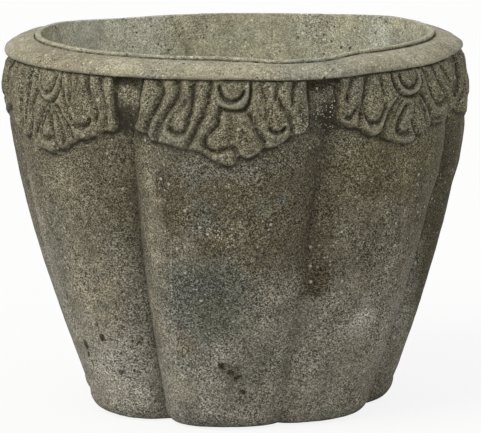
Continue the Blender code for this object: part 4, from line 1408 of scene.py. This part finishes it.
def make_lights(stage):
    """A soft sun from the upper left, and an even sky that the camera sees as white."""
    lamp = bpy.data.lights.new("sun", "SUN")
    lamp.energy = stage.sun_strength
    lamp.angle = SUN_SPREAD
    lamp.color = SUN_COLOUR
    sun = add_object("sun", lamp)
    sun.rotation_mode = "QUATERNION"
    sun.rotation_quaternion = Vector(SUN_TOWARDS).to_track_quat("-Z", "Y")
    world = bpy.data.worlds.new("sky")
    bpy.context.scene.world = world
    world.use_nodes = True
    world.node_tree.nodes.clear()
    graph = Graph(world.node_tree)
    sky = graph.wire("ShaderNodeBackground", None, {0: SKY_COLOUR, 1: stage.sky_strength})
    white = graph.wire("ShaderNodeBackground", None, {0: WHITE, 1: 1.0})
    path = graph.node("ShaderNodeLightPath")
    seen = Wire(graph, path.outputs["Is Camera Ray"])
    for output in ("Is Glossy Ray", "Is Transmission Ray"):
        seen = seen.maths("MAXIMUM", Wire(graph, path.outputs[output]))
    mixed = graph.wire("ShaderNodeMixShader", None, {0: seen, 1: sky, 2: white})
    graph.node("ShaderNodeOutputWorld", None, {0: mixed})


def make_camera(stage):
    """The camera at the photograph's angle."""
    data = bpy.data.cameras.new("camera")
    data.lens = stage.lens
    data.sensor_width = SENSOR_WIDTH
    data.shift_x = stage.shift_x
    data.shift_y = stage.shift_y
    camera = add_object("camera", data)
    flat = math.cos(stage.elevation)
    sideways, forwards = math.sin(stage.azimuth) * flat, math.cos(stage.azimuth) * flat
    back = Vector((sideways, -forwards, math.sin(stage.elevation)))
    camera.location = Vector((0.0, 0.0, stage.aim_height)) + back * stage.distance
    camera.rotation_mode = "QUATERNION"
    roll = Quaternion((0.0, 0.0, 1.0), stage.roll)
    camera.rotation_quaternion = (-back).to_track_quat("-Z", "Y") @ roll
    bpy.context.scene.camera = camera


# ---- Pieces, steps and panel


def make_turned(name, stations, sizes, slot):
    """A piece turned from its section, settled in its place; the sizes say how finely."""
    tree = bpy.data.node_groups.get("turned_stone") or turned_tree()
    values = pot_values(bpy.context.scene.planter_pot)
    values.update(Columns=sizes.columns, Waviness=sizes.waviness)
    values.update(Seed=SEEDS[name], Stone=stone_of(slot))
    obj = grown(name + "_stone", tree, section_mesh(name, stations), values)
    obj.data.set_sharp_from_angle(angle=CRISP)
    settle(obj, name)
    return obj


class PLANTER_OT_body(bpy.types.Operator):
    """Build the lobed pot"""

    bl_idname = "planter.body"
    bl_label = "Pot"

    def execute(self, context):
        pot = context.scene.planter_pot
        obj = make_turned("body", body_stations(pot), pot, "body_stone")
        dirt_and_shadow_round_leaves(obj.data, pot)
        return {"FINISHED"}


class PLANTER_OT_ring(bpy.types.Operator):
    """Build the coping ring"""

    bl_idname = "planter.ring"
    bl_label = "Coping ring"

    def execute(self, context):
        pot, ring = context.scene.planter_pot, context.scene.planter_ring
        make_turned("rim_band", ring_stations(pot, ring), ring, "rim_stone")
        return {"FINISHED"}


class PLANTER_OT_lining(bpy.types.Operator):
    """Build the lining and its lip"""

    bl_idname = "planter.lining"
    bl_label = "Lining"

    def execute(self, context):
        pot, ring = context.scene.planter_pot, context.scene.planter_ring
        make_turned("inner_lining", lining_stations(pot, ring), ring, "lining_stone")
        return {"FINISHED"}


class PLANTER_OT_leaves(bpy.types.Operator):
    """Carve a leaf for each lobe and lay it there"""

    bl_idname = "planter.leaves"
    bl_label = "Leaves"

    def execute(self, context):
        pot, leaf = context.scene.planter_pot, context.scene.planter_leaf
        tree = bpy.data.node_groups.get("leaf_on_lobe") or leaf_tree()
        values = pot_values(pot)
        values.update({"Lobe width": lobe_width(pot), "Stone": stone_of("leaf_stone")})
        for lobe, (name, row) in enumerate(zip(LEAF_NAMES, LEAVES)):
            values["Lobe"] = float(lobe)
            mesh = leaf_mesh(name, pot, leaf, row, LEAF_SEED + lobe)
            settle(grown(name + "_stone", tree, mesh, values), name)
        return {"FINISHED"}


class PLANTER_OT_stage(bpy.types.Operator):
    """Set up the floor, the lights and the camera"""

    bl_idname = "planter.stage"
    bl_label = "Stage"

    def execute(self, context):
        make_floor(context.scene.planter_stage)
        make_lights(context.scene.planter_stage)
        make_camera(context.scene.planter_stage)
        context.scene.view_settings.view_transform = "Standard"
        return {"FINISHED"}


class PLANTER_PT_panel(bpy.types.Panel):
    """Sizes, colours and steps of the planter"""

    bl_idname = "PLANTER_PT_panel"
    bl_label = "Planter"
    bl_space_type = "VIEW_3D"
    bl_region_type = "UI"
    bl_category = "Planter"

    def draw(self, context):
        for group in GROUPS:
            settings = getattr(context.scene, group)
            box = self.layout.box()
            for name in settings.bl_rna.properties.keys():
                if name not in ("rna_type", "name"):
                    box.prop(settings, name)
        for operator in STEPS:
            self.layout.operator(operator.bl_idname)


GROUPS = {
    "planter_pot": PlanterPot,
    "planter_ring": PlanterRing,
    "planter_leaf": PlanterLeaf,
    "planter_colours": PlanterColours,
    "planter_stage": PlanterStage,
}
STEPS = (
    PLANTER_OT_body,
    PLANTER_OT_ring,
    PLANTER_OT_lining,
    PLANTER_OT_leaves,
    PLANTER_OT_stage,
)


def register():
    for name, group in GROUPS.items():
        bpy.utils.register_class(group)
        setattr(bpy.types.Scene, name, bpy.props.PointerProperty(type=group))
    for operator in STEPS:
        bpy.utils.register_class(operator)
    bpy.utils.register_class(PLANTER_PT_panel)


def unregister():
    bpy.utils.unregister_class(PLANTER_PT_panel)
    for operator in reversed(STEPS):
        bpy.utils.unregister_class(operator)
    for name, group in reversed(GROUPS.items()):
        delattr(bpy.types.Scene, name)
        bpy.utils.unregister_class(group)


def main():
    register()
    bpy.ops.planter.body()
    bpy.ops.planter.ring()
    bpy.ops.planter.lining()
    bpy.ops.planter.leaves()
    bpy.ops.planter.stage()


if __name__ == "__main__":
    main()
